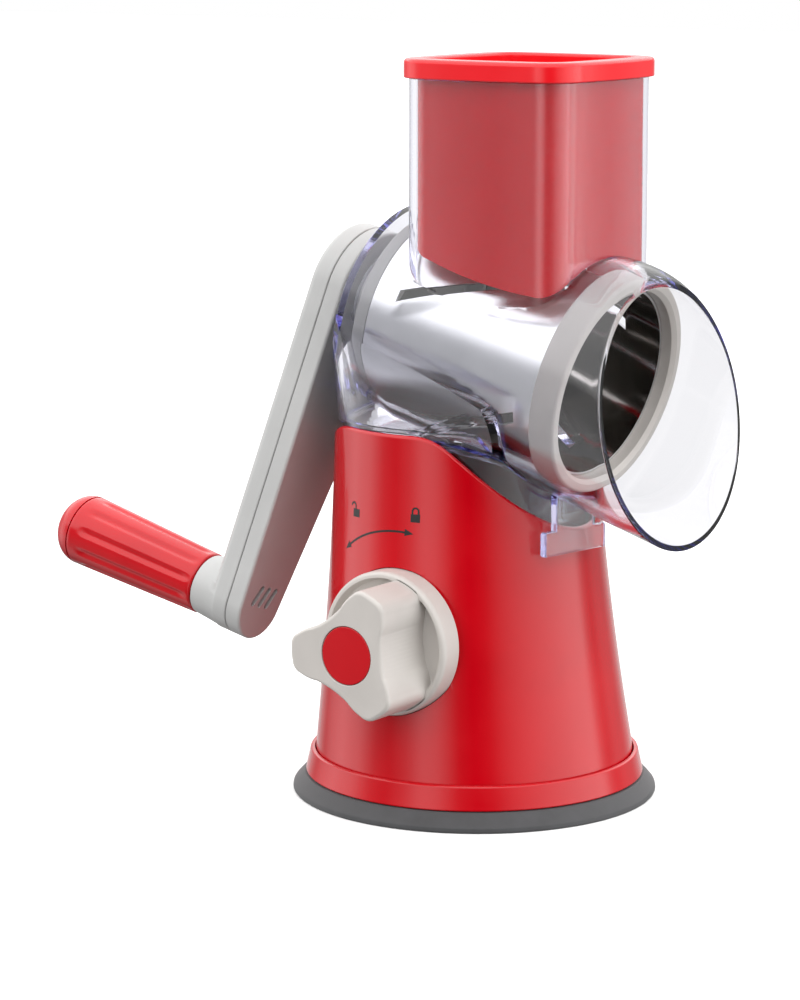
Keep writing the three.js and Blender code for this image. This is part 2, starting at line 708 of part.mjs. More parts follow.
function clearHousing() {
  const outer = barrelForm(0, -HOUSING_BACK, HOUSING_FRONT);
  const inner = barrelForm(HOUSING_WALL, -HOUSING_BACK + HOUSING_WALL, HOUSING_FRONT + 3);
  const spigotRadius = BODY_NECK_RADIUS - BODY_WALL - RUN;
  const spigotRing = tube(spigotRadius - HOUSING_WALL, spigotRadius, LEDGE_Z + GAP, SHOULDER_Z + 1);
  const spigot = solid(spigotRing.translate(0, bodyCentre(BODY_TOP), 0));
  const skirt = cut(neckForm(0), neckForm(HOUSING_WALL), bodyClearance());
  const hopperWalls = cut(
    hopperForm(0, DRUM_PIVOT[2], HOPPER_TOP),
    hopperForm(HOPPER_WALL, DRUM_PIVOT[2] - 1, HOPPER_TOP + 1),
  );
  const bearingBack = -HOUSING_BACK - BEARING_LENGTH;
  const boreRadius = COUPLING_RADIUS + RUN;
  const boss = inFrame(
    drumFrame,
    rod(boreRadius + BEARING_WALL, bearingBack, -HOUSING_BACK + 1, FINE),
  );
  const bore = inFrame(drumFrame, rod(boreRadius, bearingBack - 1, 0, FINE));
  const throat = hopperForm(HOPPER_WALL, DRUM_PIVOT[2], HOPPER_TOP + 1);
  const joined = join(outer, skirt, hopperWalls, spigot, clipTab(), solid(boss));
  return cut(joined, inner, throat, solid(bore));
}

// ---- pusher -------------------------------------------------------------------------------

const PUSHER_OVER_DRUM = 2.2;

function pusher() {
  const width = HOPPER_WIDTH - 2 * (HOPPER_WALL + PUSHER_CLEARANCE);
  const corner = HOPPER_CORNER - HOPPER_WALL - PUSHER_CLEARANCE;
  const lipLow = HOPPER_TOP + GAP;
  const lipHigh = lipLow + LIP_HEIGHT;
  const lipWidth = HOPPER_WIDTH + 2 * LIP_OVERHANG;
  const at = (shape, low, high) => solid(extruded(shape, low, high, 6).translate(0, HOPPER_Y, 0));
  const over = DRUM_RING_RADIUS + PUSHER_OVER_DRUM;
  const body = at(roundedSquare(width, corner), DRUM_PIVOT[2], lipHigh);
  const lip = at(roundedSquare(lipWidth, HOPPER_CORNER + LIP_OVERHANG), lipLow, lipHigh);
  const innerSquare = roundedSquare(width - 2 * PUSHER_WALL, corner - PUSHER_WALL);
  const cup = at(innerSquare, DRUM_PIVOT[2], lipHigh + 1);
  const drumWay = solid(inFrame(drumFrame, rod(over, -FAR, FAR, FINE)));
  const floorWay = solid(inFrame(drumFrame, rod(over + PUSHER_WALL, -FAR, FAR, FINE)));
  return cut(join(body, lip), cut(cup, floorWay), drumWay);
}

// ---- drum ---------------------------------------------------------------------------------

function drumShell() {
  const back = -DRUM_BACK + DRUM_DISC + GAP;
  const tubeSolid = solid(tube(SHELL_RADIUS - SHELL_SHEET, SHELL_RADIUS, back, SHELL_FRONT));
  const middle = (back + SHELL_FRONT - DRUM_RING_WIDTH / 2) / 2;
  const half = SLOT_LENGTH / 2 - SLOT_WIDTH / 2;
  const outline = new THREE.Shape();
  outline.absarc(0, half, SLOT_WIDTH / 2, 0, Math.PI);
  outline.absarc(0, -half, SLOT_WIDTH / 2, Math.PI, 2 * Math.PI);
  const slots = [];
  for (let i = 0; i < SLOT_COUNT; i++) {
    const slot = extruded(outline, SHELL_RADIUS / 2, SHELL_RADIUS + 1, 4)
      .rotateZ(SLOT_SLANT)
      .rotateX(Math.PI / 2)
      .rotateZ(SLOT_TURN + (i / SLOT_COUNT) * 2 * Math.PI)
      .translate(0, 0, middle);
    slots.push(solid(slot));
  }
  return cut(tubeSolid, ...slots);
}

function drumFrontRing() {
  const back = DRUM_RING_FRONT - DRUM_RING_WIDTH;
  const bore = SHELL_RADIUS + GAP;
  return solid(
    turned([
      [bore, back],
      [DRUM_RING_RADIUS - EDGE, back],
      [DRUM_RING_RADIUS, back + EDGE],
      [DRUM_RING_RADIUS, DRUM_RING_FRONT - EDGE],
      [DRUM_RING_RADIUS - EDGE, DRUM_RING_FRONT],
      [bore + 2 * EDGE, DRUM_RING_FRONT],
      [bore, DRUM_RING_FRONT - 1.5 * EDGE],
    ]),
  );
}

const COUPLING_END = CRANK_FACE + CRANK_THICKNESS - CRANK_WALL - GAP;
const COUPLING_FLAT_START = HOUSING_BACK + BEARING_LENGTH + 1;
const COUPLING_FLAT = COUPLING_RADIUS - FLAT_DEPTH; // half the width across the flats
const WINDOW = 5; // side of the small window that the catch's tooth drops into
const WINDOW_AT = COUPLING_END - 5.6;
const SHOULDER = 2.4; // thickness of the rear disc's floor
const SPIGOT_RIM = 5; // the disc reaches into the steel by this

// Two flat-sided blocks that leave a shaft its flats.
function flats(half, from, to) {
  return [-1, 1].map((side) =>
    solid(block(20, 60, to - from, side * (half + 10), 0, -(from + to) / 2)),
  );
}

function drumRearHub() {
  const spigot = SHELL_RADIUS - SHELL_SHEET - GAP;
  const disc = turned([
    [COUPLING_RADIUS - COUPLING_WALL, -COUPLING_END],
    [COUPLING_RADIUS, -COUPLING_END],
    [COUPLING_RADIUS, -DRUM_BACK],
    [SHELL_RADIUS - EDGE, -DRUM_BACK],
    [SHELL_RADIUS, -DRUM_BACK + EDGE],
    [SHELL_RADIUS, -DRUM_BACK + DRUM_DISC],
    [spigot, -DRUM_BACK + DRUM_DISC],
    [spigot, -DRUM_BACK + DRUM_DISC + SPIGOT_RIM],
    [spigot - 2, -DRUM_BACK + DRUM_DISC + SPIGOT_RIM],
    [spigot - 2, -DRUM_BACK + SHOULDER],
    [COUPLING_RADIUS - COUPLING_WALL, -DRUM_BACK + SHOULDER],
  ]);
  const opening = block(WINDOW, 4 * COUPLING_WALL, WINDOW, 0, COUPLING_RADIUS, -WINDOW_AT);
  const faces = flats(COUPLING_FLAT, COUPLING_FLAT_START, COUPLING_END + 1);
  return cut(solid(disc), solid(opening), ...faces);
}

// ---- crank --------------------------------------------------------------------------------

// The arm's outline: a large round head, a small round tail and straight sides between.
function armOutline(inset) {
  const head = CRANK_HEAD_RADIUS - inset;
  const tail = CRANK_TAIL_RADIUS - inset;
  const slope = Math.asin((head - tail) / CRANK_LENGTH);
  const shape = new THREE.Shape();
  shape.absarc(0, 0, head, -slope, Math.PI + slope);
  shape.absarc(0, -CRANK_LENGTH, tail, Math.PI + slope, 2 * Math.PI - slope);
  return shape;
}

const SEAM = CRANK_FACE + CRANK_FRONT_SHELL;
const CRANK_BACK = CRANK_FACE + CRANK_THICKNESS;
const ARM_SCREWS = [0.34 * CRANK_LENGTH, 0.69 * CRANK_LENGTH]; // distances down the arm
const ARM_POST = 4.2; // radius of the posts round the arm's screws
const SCREW_SINK = 0.6; // the arm's screw heads lie this far below their counterbores' floor
const VENT_COUNT = 3;
const VENT_HALF = 3.6;
const VENT_RADIUS = 0.8;
const VENT_PITCH = 4.4;
const VENT_SLANT = THREE.MathUtils.degToRad(-32);

function ventSlots() {
  const outline = new THREE.Shape();
  outline.absarc(0, VENT_HALF, VENT_RADIUS, 0, Math.PI);
  outline.absarc(0, -VENT_HALF, VENT_RADIUS, Math.PI, 2 * Math.PI);
  const slots = [];
  for (let i = 0; i < VENT_COUNT; i++) {
    const slot = extruded(outline, -SEAM + 2, -CRANK_FACE + 1, 3)
      .rotateZ(VENT_SLANT)
      .translate((i - (VENT_COUNT - 1) / 2) * VENT_PITCH, -CRANK_LENGTH + VENT_HALF, 0);
    slots.push(solid(slot));
  }
  return slots;
}

function crankFrontShell() {
  const seam = -SEAM + GAP / 2;
  const shell = cut(
    solid(extruded(armOutline(0), seam, -CRANK_FACE, COARSE)),
    solid(extruded(armOutline(CRANK_WALL), seam - 1, -CRANK_FACE - CRANK_WALL, COARSE)),
  );
  const bosses = ARM_SCREWS.map((y) => {
    const post = rod(ARM_POST, seam, -CRANK_FACE - 1, COARSE).translate(0, -y, 0);
    const pilot = rod(SCREW_RADIUS + GAP, seam - 1, -CRANK_FACE - CRANK_WALL, SMALL);
    return [solid(post), solid(pilot.translate(0, -y, 0))];
  });
  const hole = solid(rod(SOCKET_RADIUS + GAP, -CRANK_BACK, -HOUSING_BACK, FINE));
  const filled = join(shell, ...bosses.map(([post]) => post));
  return cut(filled, ...bosses.map(([, pilot]) => pilot), hole, ...ventSlots());
}

const LEAF_LENGTH = 9;
const LEAF_SHEET = 1;

function crankBackShell() {
  const seam = -SEAM - GAP / 2;
  const floor = -CRANK_BACK + CRANK_WALL;
  const shell = cut(
    solid(extruded(armOutline(0), -CRANK_BACK, seam, COARSE)),
    solid(extruded(armOutline(CRANK_WALL), floor, seam + 1, COARSE)),
  );
  const socket = solid(rod(SOCKET_RADIUS, -CRANK_BACK + 1, -CRANK_FACE - GAP, FINE));
  const bore = cut(
    solid(rod(COUPLING_RADIUS + RUN, floor, -HOUSING_BACK, FINE)),
    ...flats(COUPLING_FLAT + RUN, COUPLING_FLAT_START + 1, CRANK_BACK),
  );
  const grip = GRIP_START - GAP;
  const boss = turned(
    [
      [0, -grip],
      [GRIP_NEAR_RADIUS - GAP, -grip],
      [CRANK_TAIL_RADIUS - 2 * GAP, -CRANK_BACK - GRIP_BOSS / 3],
      [CRANK_TAIL_RADIUS - 0.1, -CRANK_BACK + 1],
      [0, -CRANK_BACK + 1],
    ],
    FINE,
  ).translate(0, -CRANK_LENGTH, 0);
  const spindleWay = rod(SPINDLE_RADIUS + GAP, -grip - 1, seam).translate(0, -CRANK_LENGTH, 0);
  const drill = (radius, low, high, y) => solid(rod(radius, low, high).translate(0, -y, 0));
  const screwWays = ARM_SCREWS.flatMap((y) => [
    drill(SCREW_RADIUS + GAP, -CRANK_BACK - 1, seam + 1, y),
    drill(SCREW_HEAD_RADIUS + GAP, -CRANK_BACK - 1, floor + SCREW_SINK, y),
  ]);
  const posts = ARM_SCREWS.map((y) => drill(ARM_POST + 2 * GAP, -CRANK_BACK + 1, seam, y));
  const latchWay = solid(block(WINDOW + 2, 8, LEAF_LENGTH + 1, 0, SOCKET_RADIUS, -WINDOW_AT));
  const filled = join(shell, socket, ...posts, solid(boss));
  return cut(filled, bore, solid(spindleWay), ...screwWays, latchWay);
}

function armScrew() {
  const seat = -CRANK_BACK + CRANK_WALL + SCREW_SINK - GAP;
  const tip = -SEAM + CRANK_FRONT_SHELL - CRANK_WALL - 1;
  return solid(
    turned(
      [
        [0, seat - SCREW_HEAD],
        [SCREW_HEAD_RADIUS, seat - SCREW_HEAD],
        [SCREW_HEAD_RADIUS, seat],
        [SCREW_RADIUS, seat],
        [SCREW_RADIUS, tip - 1],
        [0, tip],
      ],
      SMALL,
    ),
  );
}

// A bent leaf in the crank's head. Its tooth drops into the coupling's window.
function snapCatch() {
  const leafY = COUPLING_RADIUS + 2 * LEAF_SHEET;
  const toothY = COUPLING_RADIUS + LEAF_SHEET / 2;
  const tooth = block(WINDOW - 1, 3 * LEAF_SHEET, WINDOW - 1, 0, toothY, -WINDOW_AT);
  const leaf = block(WINDOW, LEAF_SHEET, LEAF_LENGTH, 0, leafY, -WINDOW_AT);
  return join(solid(leaf), solid(tooth));
}

// ---- grip ---------------------------------------------------------------------------------

const GRIP_END = GRIP_START + GRIP_LENGTH;
const WASHER = 1;
const WASHER_RADIUS = 6.5;
const WELL_RADIUS = 8; // of the hollow in the grip's end that holds the washer and screw
const SPINDLE_FLANGE = 2.5; // thickness of the spindle's head inside the arm
const SPINDLE_FLANGE_RADIUS = 7;

function gripSpindle() {
  const flange = -CRANK_BACK + CRANK_WALL + GAP;
  const end = -GRIP_END + GRIP_PIN;
  return solid(
    turned(
      [
        [0, end],
        [SPINDLE_RADIUS - EDGE, end],
        [SPINDLE_RADIUS, end + EDGE],
        [SPINDLE_RADIUS, flange],
        [SPINDLE_FLANGE_RADIUS, flange],
        [SPINDLE_FLANGE_RADIUS, flange + SPINDLE_FLANGE],
        [0, flange + SPINDLE_FLANGE],
      ],
      COARSE,
    ),
  );
}

function gripWasher() {
  const far = -GRIP_END + GRIP_PIN - GAP;
  return solid(tube(SCREW_RADIUS + GAP, WASHER_RADIUS, far - WASHER, far, COARSE));
}

function gripScrew() {
  const seat = -GRIP_END + GRIP_PIN - 2 * GAP - WASHER;
  return solid(rod(SCREW_HEAD_RADIUS, seat - SCREW_HEAD, seat, SMALL));
}

// Presses shallow flutes into the grip's side, fading out towards both ends.
function flute(point) {
  const radius = Math.hypot(point.x, point.y);
  if (radius < GRIP_NEAR_RADIUS - 1) return;
  const along = (-point.z - GRIP_START) / GRIP_LENGTH;
  const { smoothstep } = THREE.MathUtils;
  const fade = smoothstep(along, 0, 0.08) - smoothstep(along, 0.8, 0.88);
  const angle = Math.atan2(point.y, point.x);
  const press = (FLUTE_DEPTH * fade * (1 + Math.cos(GRIP_FLUTES * angle))) / 2;
  point.x *= 1 - press / radius;
  point.y *= 1 - press / radius;
}

function gripSleeve() {
  const steps = 8;
  const side = [];
  for (let i = 0; i <= steps; i++) {
    const along = i / steps;
    const radius = THREE.MathUtils.lerp(GRIP_NEAR_RADIUS, GRIP_FAR_RADIUS, along);
    side.push([radius, -GRIP_START - along * GRIP_LENGTH]);
  }
  const form = shaped(turned([[0, -GRIP_START], ...side, [0, -GRIP_END]], FINE), flute);
  const bore = rod(SPINDLE_RADIUS + RUN, -GRIP_END, -GRIP_START + 1);
  const well = rod(WELL_RADIUS, -GRIP_END - 1, -GRIP_END + GRIP_PIN + EDGE);
  return cut(solid(form), solid(bore), solid(well));
}

function gripEndCap() {
  const base = GRIP_END + GAP;
  const dome = [];
  const steps = 5;
  for (let i = 0; i <= steps; i++) {
    const angle = (i / steps) * (Math.PI / 2);
    dome.push([GRIP_FAR_RADIUS * Math.cos(angle), -base - GRIP_DOME * Math.sin(angle)]);
  }
  dome[steps][0] = 0;
  const plug = WELL_RADIUS - GAP;
  return solid(turned([[0, -base + 3], [plug, -base + 3], [plug, -base], ...dome], FINE));
}

// ---- assembly -----------------------------------------------------------------------------

piece("suction_foot", suctionFoot(), RUBBER);
piece("base_ring", baseRing(), RED);
piece("body_shell", bodyShell(), RED);
piece("floor_plate", floorPlate(), DARK);
floorScrewPlaces().forEach(([x, y], i) => {
  piece("floor_screw_" + (i + 1), floorScrew(), ZINC).position.set(x, y, 0);
});
piece("return_spring", returnSpring(), ZINC);
piece("lift_plate", liftPlate(), ZINC);
piece("lift_yoke", liftYoke(), DARK);

piece("cam_shaft", camShaft(), DARK, knobFrame);
piece("shaft_clip", shaftClip(), ZINC, knobFrame);
piece("lock_knob", lockKnob(), GREY, knobFrame);
piece("knob_inlay", knobInlay(), RED, knobFrame);
piece("knob_screw", knobScrew(), ZINC, knobFrame);

piece("clear_housing", clearHousing(), CLEAR);
piece("pusher", pusher(), RED);

piece("drum_shell", drumShell(), POLISHED, drumFrame);
piece("drum_front_ring", drumFrontRing(), GREY, drumFrame);
piece("drum_rear_hub", drumRearHub(), GREY, crankFrame);

piece("crank_front_shell", crankFrontShell(), GREY, crankFrame);
piece("crank_back_shell", crankBackShell(), GREY, crankFrame);
piece("snap_catch", snapCatch(), GREY, crankFrame);
ARM_SCREWS.forEach((y, i) => {
  piece("crank_screw_" + (i + 1), armScrew(), ZINC, crankFrame).position.y = -y;
});

piece("grip_spindle", gripSpindle(), ZINC, gripFrame);
piece("grip_washer", gripWasher(), ZINC, gripFrame);
piece("grip_screw", gripScrew(), ZINC, gripFrame);
piece("grip_sleeve", gripSleeve(), RED, gripFrame);
piece("grip_end_cap", gripEndCap(), RED, gripFrame);

export default grater;
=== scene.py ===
import json
import math

import bmesh
import bpy
from mathutils import Euler, Matrix, Vector


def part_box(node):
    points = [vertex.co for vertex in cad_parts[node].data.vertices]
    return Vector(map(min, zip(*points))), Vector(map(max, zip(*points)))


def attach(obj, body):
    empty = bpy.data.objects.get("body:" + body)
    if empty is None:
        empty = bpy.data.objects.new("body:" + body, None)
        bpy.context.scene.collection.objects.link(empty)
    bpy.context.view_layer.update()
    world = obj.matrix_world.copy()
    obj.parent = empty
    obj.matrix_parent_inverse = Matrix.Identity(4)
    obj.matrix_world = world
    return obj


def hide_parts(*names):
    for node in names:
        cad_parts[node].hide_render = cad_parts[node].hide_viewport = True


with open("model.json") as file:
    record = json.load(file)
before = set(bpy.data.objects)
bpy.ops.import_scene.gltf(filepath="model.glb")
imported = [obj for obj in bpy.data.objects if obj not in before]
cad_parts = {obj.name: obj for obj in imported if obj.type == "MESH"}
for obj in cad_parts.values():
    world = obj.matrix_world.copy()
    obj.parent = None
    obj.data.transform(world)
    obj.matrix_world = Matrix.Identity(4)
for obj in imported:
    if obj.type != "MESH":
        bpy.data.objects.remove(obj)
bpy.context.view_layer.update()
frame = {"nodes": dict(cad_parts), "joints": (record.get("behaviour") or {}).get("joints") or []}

MM = 0.001
GAP = 0.3  # left between neighbouring pieces

# ---- sizes --------------------------------------------------------------------------------------


def low(node):
    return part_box(node)[0] / MM


def high(node):
    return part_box(node)[1] / MM


JOINTS = {joint["name"]: joint for joint in frame["joints"]}
PIVOT = Vector(JOINTS["crank_turn"]["pos_m"]) / MM
TILT = math.atan2(-JOINTS["drum_draw"]["axis"][2], -JOINTS["drum_draw"]["axis"][1])
KNOB_Z = JOINTS["lock_turn"]["pos_m"][2] / MM

FOOT_RADIUS = high("suction_foot").x
FOOT_RIM = high("suction_foot").z
RING_FOOT_RADIUS = high("base_ring").x
RING_LOW = low("base_ring").z
RING_TOP = high("base_ring").z
RING_DRAFT = 1.9
BODY_FOOT_RADIUS = RING_FOOT_RADIUS - RING_DRAFT - 1.8
BODY_NECK_RADIUS = 46.3
BODY_LOW = low("body_shell").z
BODY_TOP = high("body_shell").z
BODY_LEAN = 4
BODY_WALL = 2.6
SADDLE_RADIUS = 51.5

SHELL_RADIUS = 33.7
DRUM_BACK = 50.6
DRUM_RING_RADIUS = 38.85
DRUM_RING_FRONT = 38.8
DRUM_RING_WIDTH = 10.2
COUPLING_RADIUS = 13.8
COUPLING_BORE = COUPLING_RADIUS + 0.35
BEARING_RADIUS = 17.55
HOUSING_WALL = 2.2
HOUSING_BACK = DRUM_BACK + 5.7
HOUSING_BACK_RADIUS = SHELL_RADIUS + 3.7
HOUSING_RING_RADIUS = DRUM_RING_RADIUS + 4
OUTLET_RADIUS = HOUSING_RING_RADIUS + 3.2
HOUSING_FRONT = DRUM_RING_FRONT + 22.2
OUTLET_TILT = math.radians(22.4)
OUTLET_DROP = 3

HOPPER_WIDTH = 68
HOPPER_CORNER = 11.5
WALL_BOW = 1.1
HOPPER_WALL = 2.3
HOPPER_Y = (low("pusher").y + high("pusher").y) / 2
HOPPER_TOP = high("clear_housing").z
LIP_TOP = high("pusher").z

CRANK_FACE = HOUSING_BACK + 9.2
SEAM = CRANK_FACE + 6.6
CRANK_BACK = CRANK_FACE + 14.9
CRANK_HEAD = 23.4
CRANK_TAIL = 12.3
CRANK_LENGTH = 119.2
CRANK_ANGLE = math.radians(17)
SCREW_SHARES = (0.34, 0.69)  # of the arm's length, from its head
GRIP_START = CRANK_BACK + 9.5
GRIP_END = GRIP_START + 58
GRIP_NEAR = 11.4
GRIP_FAR = 13.1

COLLAR_LOW = -high("lock_knob").x
COLLAR_RADIUS = 25.2
KNOB_FRONT = -low("lock_knob").x
SKIRT_LOW = COLLAR_LOW - 3
SKIRT_BORE = COLLAR_RADIUS - 2.4

# ---- frames -------------------------------------------------------------------------------------

# The drum's frame: +Z runs forward along the axis and +Y is up. The crank's frame hangs from it.
DRUM = Matrix.Translation(PIVOT) @ Euler((math.pi / 2 + TILT, 0, 0)).to_matrix().to_4x4()
CRANK = DRUM @ Matrix.Rotation(-CRANK_ANGLE, 4, "Z")
GRIP = CRANK @ Matrix.Translation((0, -CRANK_LENGTH, 0))
# The knob's frame: +Z points out of the body, along -X, and +Y is up.
KNOB = Matrix(((0, 0, -1, 0), (-1, 0, 0, 0), (0, 1, 0, KNOB_Z), (0, 0, 0, 1)))
WORLD = Matrix.Identity(4)

# ---- mesh helpers -------------------------------------------------------------------------------


def lerp(a, b, t):
    return a + (b - a) * t


def smoothstep(t):
    t = min(max(t, 0), 1)
    return t * t * (3 - 2 * t)


def filleted(corners, closed=False, steps=5):
    """A profile of (radius, height, fillet) corners, with each fillet drawn as an arc."""
    points = []
    count = len(corners)
    for i, (r, z, fillet) in enumerate(corners):
        here = Vector((r, z))
        ends = not closed and i in (0, count - 1)
        if not fillet or ends:
            points.append(here)
            continue
        before = Vector(corners[i - 1][:2]) - here
        after = Vector(corners[(i + 1) % count][:2]) - here
        half = before.angle(after) / 2
        reach = min(fillet / math.tan(half), before.length * 0.49, after.length * 0.49)
        radius = reach * math.tan(half)
        middle = here + (before.normalized() + after.normalized()).normalized() * (
            radius / math.sin(half)
        )
        start = here + before.normalized() * reach - middle
        end = here + after.normalized() * reach - middle
        for k in range(steps + 1):
            arm = start.slerp(end, k / steps)
            points.append(middle + arm.normalized() * radius)
    return points


def lathe_rings(points, segments=160):
    """Rings of points turned about Z. A point on the axis becomes a pole."""
    rings = []
    for r, z in points:
        if r < 1e-6:
            rings.append([Vector((0, 0, z))])
            continue
        ring = []
        for i in range(segments):
            turn = 2 * math.pi * i / segments
            ring.append(Vector((r * math.cos(turn), r * math.sin(turn), z)))
        rings.append(ring)
    return rings


def skin(rings, closed=False):
    """Faces between neighbouring rings; the last ring joins the first if closed."""
    points = [point for ring in rings for point in ring]
    starts = [0]
    for ring in rings:
        starts.append(starts[-1] + len(ring))
    faces = []
    pairs = list(range(len(rings) - 1)) + ([len(rings) - 1] if closed else [])
    for a in pairs:
        b = (a + 1) % len(rings)
        size = max(len(rings[a]), len(rings[b]))
        for i in range(size):
            j = (i + 1) % size
            a0, a1 = (starts[a] + k % len(rings[a]) for k in (i, j))
            b0, b1 = (starts[b] + k % len(rings[b]) for k in (i, j))
            face = [a0, a1, b1, b0]
            faces.append([v for k, v in enumerate(face) if v not in face[:k]])
    return points, [face for face in faces if len(face) > 2]


def new_object(name, points, faces, place=WORLD):
    mesh = bpy.data.meshes.new(name)
    mesh.from_pydata([(place @ Vector(p)) * MM for p in points], [], faces)
    tidy = bmesh.new()
    tidy.from_mesh(mesh)
    bmesh.ops.remove_doubles(tidy, verts=tidy.verts, dist=1e-7)
    bmesh.ops.recalc_face_normals(tidy, faces=tidy.faces)
    tidy.to_mesh(mesh)
    tidy.free()
    thing = bpy.data.objects.new(name, mesh)
    bpy.context.scene.collection.objects.link(thing)
    return thing


def turned(name, corners, place=WORLD, segments=160, closed=False):
    rings = lathe_rings(filleted(corners, closed), segments)
    return new_object(name, *skin(rings, closed), place)


def rod(radius, start, end, place=WORLD, segments=96):
    corners = [(0, start, 0), (radius, start, 0), (radius, end, 0), (0, end, 0)]
    return turned("rod", corners, place, segments)


def box(width, depth, height, centre, place=WORLD):
    half = Vector((width, depth, height)) / 2
    points = [
        Vector(centre) + Vector((sx * half.x, sy * half.y, sz * half.z))
        for sz in (-1, 1)
        for sx, sy in ((-1, -1), (1, -1), (1, 1), (-1, 1))
    ]
    faces = [(0, 1, 2, 3), (4, 5, 6, 7), (0, 1, 5, 4), (1, 2, 6, 5), (2, 3, 7, 6), (3, 0, 4, 7)]
    return new_object("box", points, faces, place)


def capped(name, rings, place=WORLD):
    points, faces = skin(rings)
    size = len(rings[0])
    faces.append(list(range(size)))
    faces.append(list(range(len(points) - size, len(points))))
    return new_object(name, points, faces, place)


def rounded_square(width, corner):
    """The outline of a square with round corners and slightly bowed sides, as (x, y) pairs."""
    steps = 12
    side_steps = 9
    flat = width / 2 - corner - WALL_BOW
    outline = []
    for quarter, (sx, sy) in enumerate(((1, 1), (-1, 1), (-1, -1), (1, -1))):
        for k in range(steps + 1):
            turn = (quarter + k / steps) * math.pi / 2
            spot = Vector((sx * flat, sy * flat)) + corner * Vector((math.cos(turn), math.sin(turn)))
            outline.append(spot)
        out = Vector((math.cos(turn), math.sin(turn)))
        along = Vector((-out.y, out.x))
        for k in range(1, side_steps):
            share = k / side_steps
            bow = WALL_BOW * 4 * share * (1 - share)
            outline.append(spot + along * (2 * flat * share) + out * bow)
    return outline


def bake(thing):
    """Turns an object's modifiers into its mesh."""
    graph = bpy.context.evaluated_depsgraph_get()
    made = bpy.data.meshes.new_from_object(thing.evaluated_get(graph))
    thing.modifiers.clear()
    thing.data = made
    return thing


def combine(thing, other, operation):
    """Joins, cuts or intersects one closed mesh with another, which is used up."""
    step = thing.modifiers.new("combine", "BOOLEAN")
    step.operation = operation
    step.solver = "MANIFOLD"
    step.object = other
    bpy.context.view_layer.update()
    bake(thing)
    bpy.data.objects.remove(other)
    return thing


def join(thing, *others):
    for other in others:
        combine(thing, other, "UNION")
    return thing


def cut(thing, *others):
    for other in others:
        combine(thing, other, "DIFFERENCE")
    return thing


def soften(thing, width, angle=40, segments=2):
    """Rounds the edges sharper than the angle."""
    step = thing.modifiers.new("soften", "BEVEL")
    step.width = width * MM
    step.segments = segments
    step.limit_method = "ANGLE"
    step.angle_limit = math.radians(angle)
    return bake(thing)


def add_piece(thing, name, material, body, nodes=()):
    """Finishes a piece and ties it to its body. One that has its own materials passes None."""
    thing.name = name
    thing.data.name = name
    if material:
        thing.data.materials.clear()
        thing.data.materials.append(material)
    thing.data.shade_smooth()
    thing.data.set_sharp_from_angle(angle=math.radians(38))
    even = thing.modifiers.new("even_shading", "WEIGHTED_NORMAL")
    even.keep_sharp = True
    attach(thing, body)
    if nodes:
        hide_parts(*nodes)
    return thing


# ---- materials ----------------------------------------------------------------------------------


def colour(hex_code):
    """An sRGB hex colour as linear RGBA."""
    channels = [int(hex_code[i : i + 2], 16) / 255 for i in (1, 3, 5)]
    linear = [c / 12.92 if c <= 0.04045 else ((c + 0.055) / 1.055) ** 2.4 for c in channels]
    return (*linear, 1)


def new_material(name):
    material = bpy.data.materials.new(name)
    material.use_nodes = True
    return material, material.node_tree.nodes["Principled BSDF"]


def node(shader, kind, settings=(), **links):
    """Adds a node beside the shader, with its settings and its linked or plain inputs."""
    tree = shader.id_data
    made = tree.nodes.new(kind)
    for key, value in dict(settings).items():
        setattr(made, key, value)
    for key, value in links.items():
        socket = made.inputs[key.replace("_", " ")]
        if isinstance(value, bpy.types.NodeSocket):
            tree.links.new(value, socket)
        else:
            socket.default_value = value
    return made


def per_metre(size_mm):
    """A texture scale whose pattern repeats about every size_mm millimetres."""
    return 1 / (size_mm * MM)


def mottled(shader, dark, light, size_mm, detail=3):
    """Colour that drifts between two hex values, as pigment does in a moulding."""
    place = node(shader, "ShaderNodeTexCoord").outputs["Object"]
    cloud = node(
        shader, "ShaderNodeTexNoise", Vector=place, Scale=per_metre(size_mm), Detail=detail
    )
    ramp = node(shader, "ShaderNodeValToRGB", Fac=cloud.outputs["Fac"])
    ramp.color_ramp.elements[0].position = 0.3
    ramp.color_ramp.elements[1].position = 0.7
    ramp.color_ramp.elements[0].color = colour(dark)
    ramp.color_ramp.elements[1].color = colour(light)
    shader.id_data.links.new(ramp.outputs["Color"], shader.inputs["Base Color"])
    return place, cloud


def uneven_gloss(shader, source, low_value, high_value):
    """Lets the roughness drift with a texture."""
    spread = node(shader, "ShaderNodeMapRange", Value=source)
    spread.inputs["From Min"].default_value = 0.3
    spread.inputs["From Max"].default_value = 0.7
    spread.inputs["To Min"].default_value = low_value
    spread.inputs["To Max"].default_value = high_value
    shader.id_data.links.new(spread.outputs["Result"], shader.inputs["Roughness"])


def grained(shader, place, size_mm, depth_mm):
    """A fine bump of a given grain."""
    grain = node(
        shader, "ShaderNodeTexNoise", Vector=place, Scale=per_metre(size_mm), Detail=2
    )
    bump = node(shader, "ShaderNodeBump", Height=grain.outputs["Fac"], Strength=1.0)
    bump.inputs["Distance"].default_value = depth_mm * MM
    shader.id_data.links.new(bump.outputs["Normal"], shader.inputs["Normal"])


def red_abs(name, dark, light):
    """Gloss moulded ABS: a polished mould leaves a near mirror with a faint orange peel."""
    material, shader = new_material(name)
    place, cloud = mottled(shader, dark, light, 26)
    uneven_gloss(shader, cloud.outputs["Fac"], 0.12, 0.18)
    grained(shader, place, 1.6, 0.006)
    shader.inputs["IOR"].default_value = 1.5
    return material


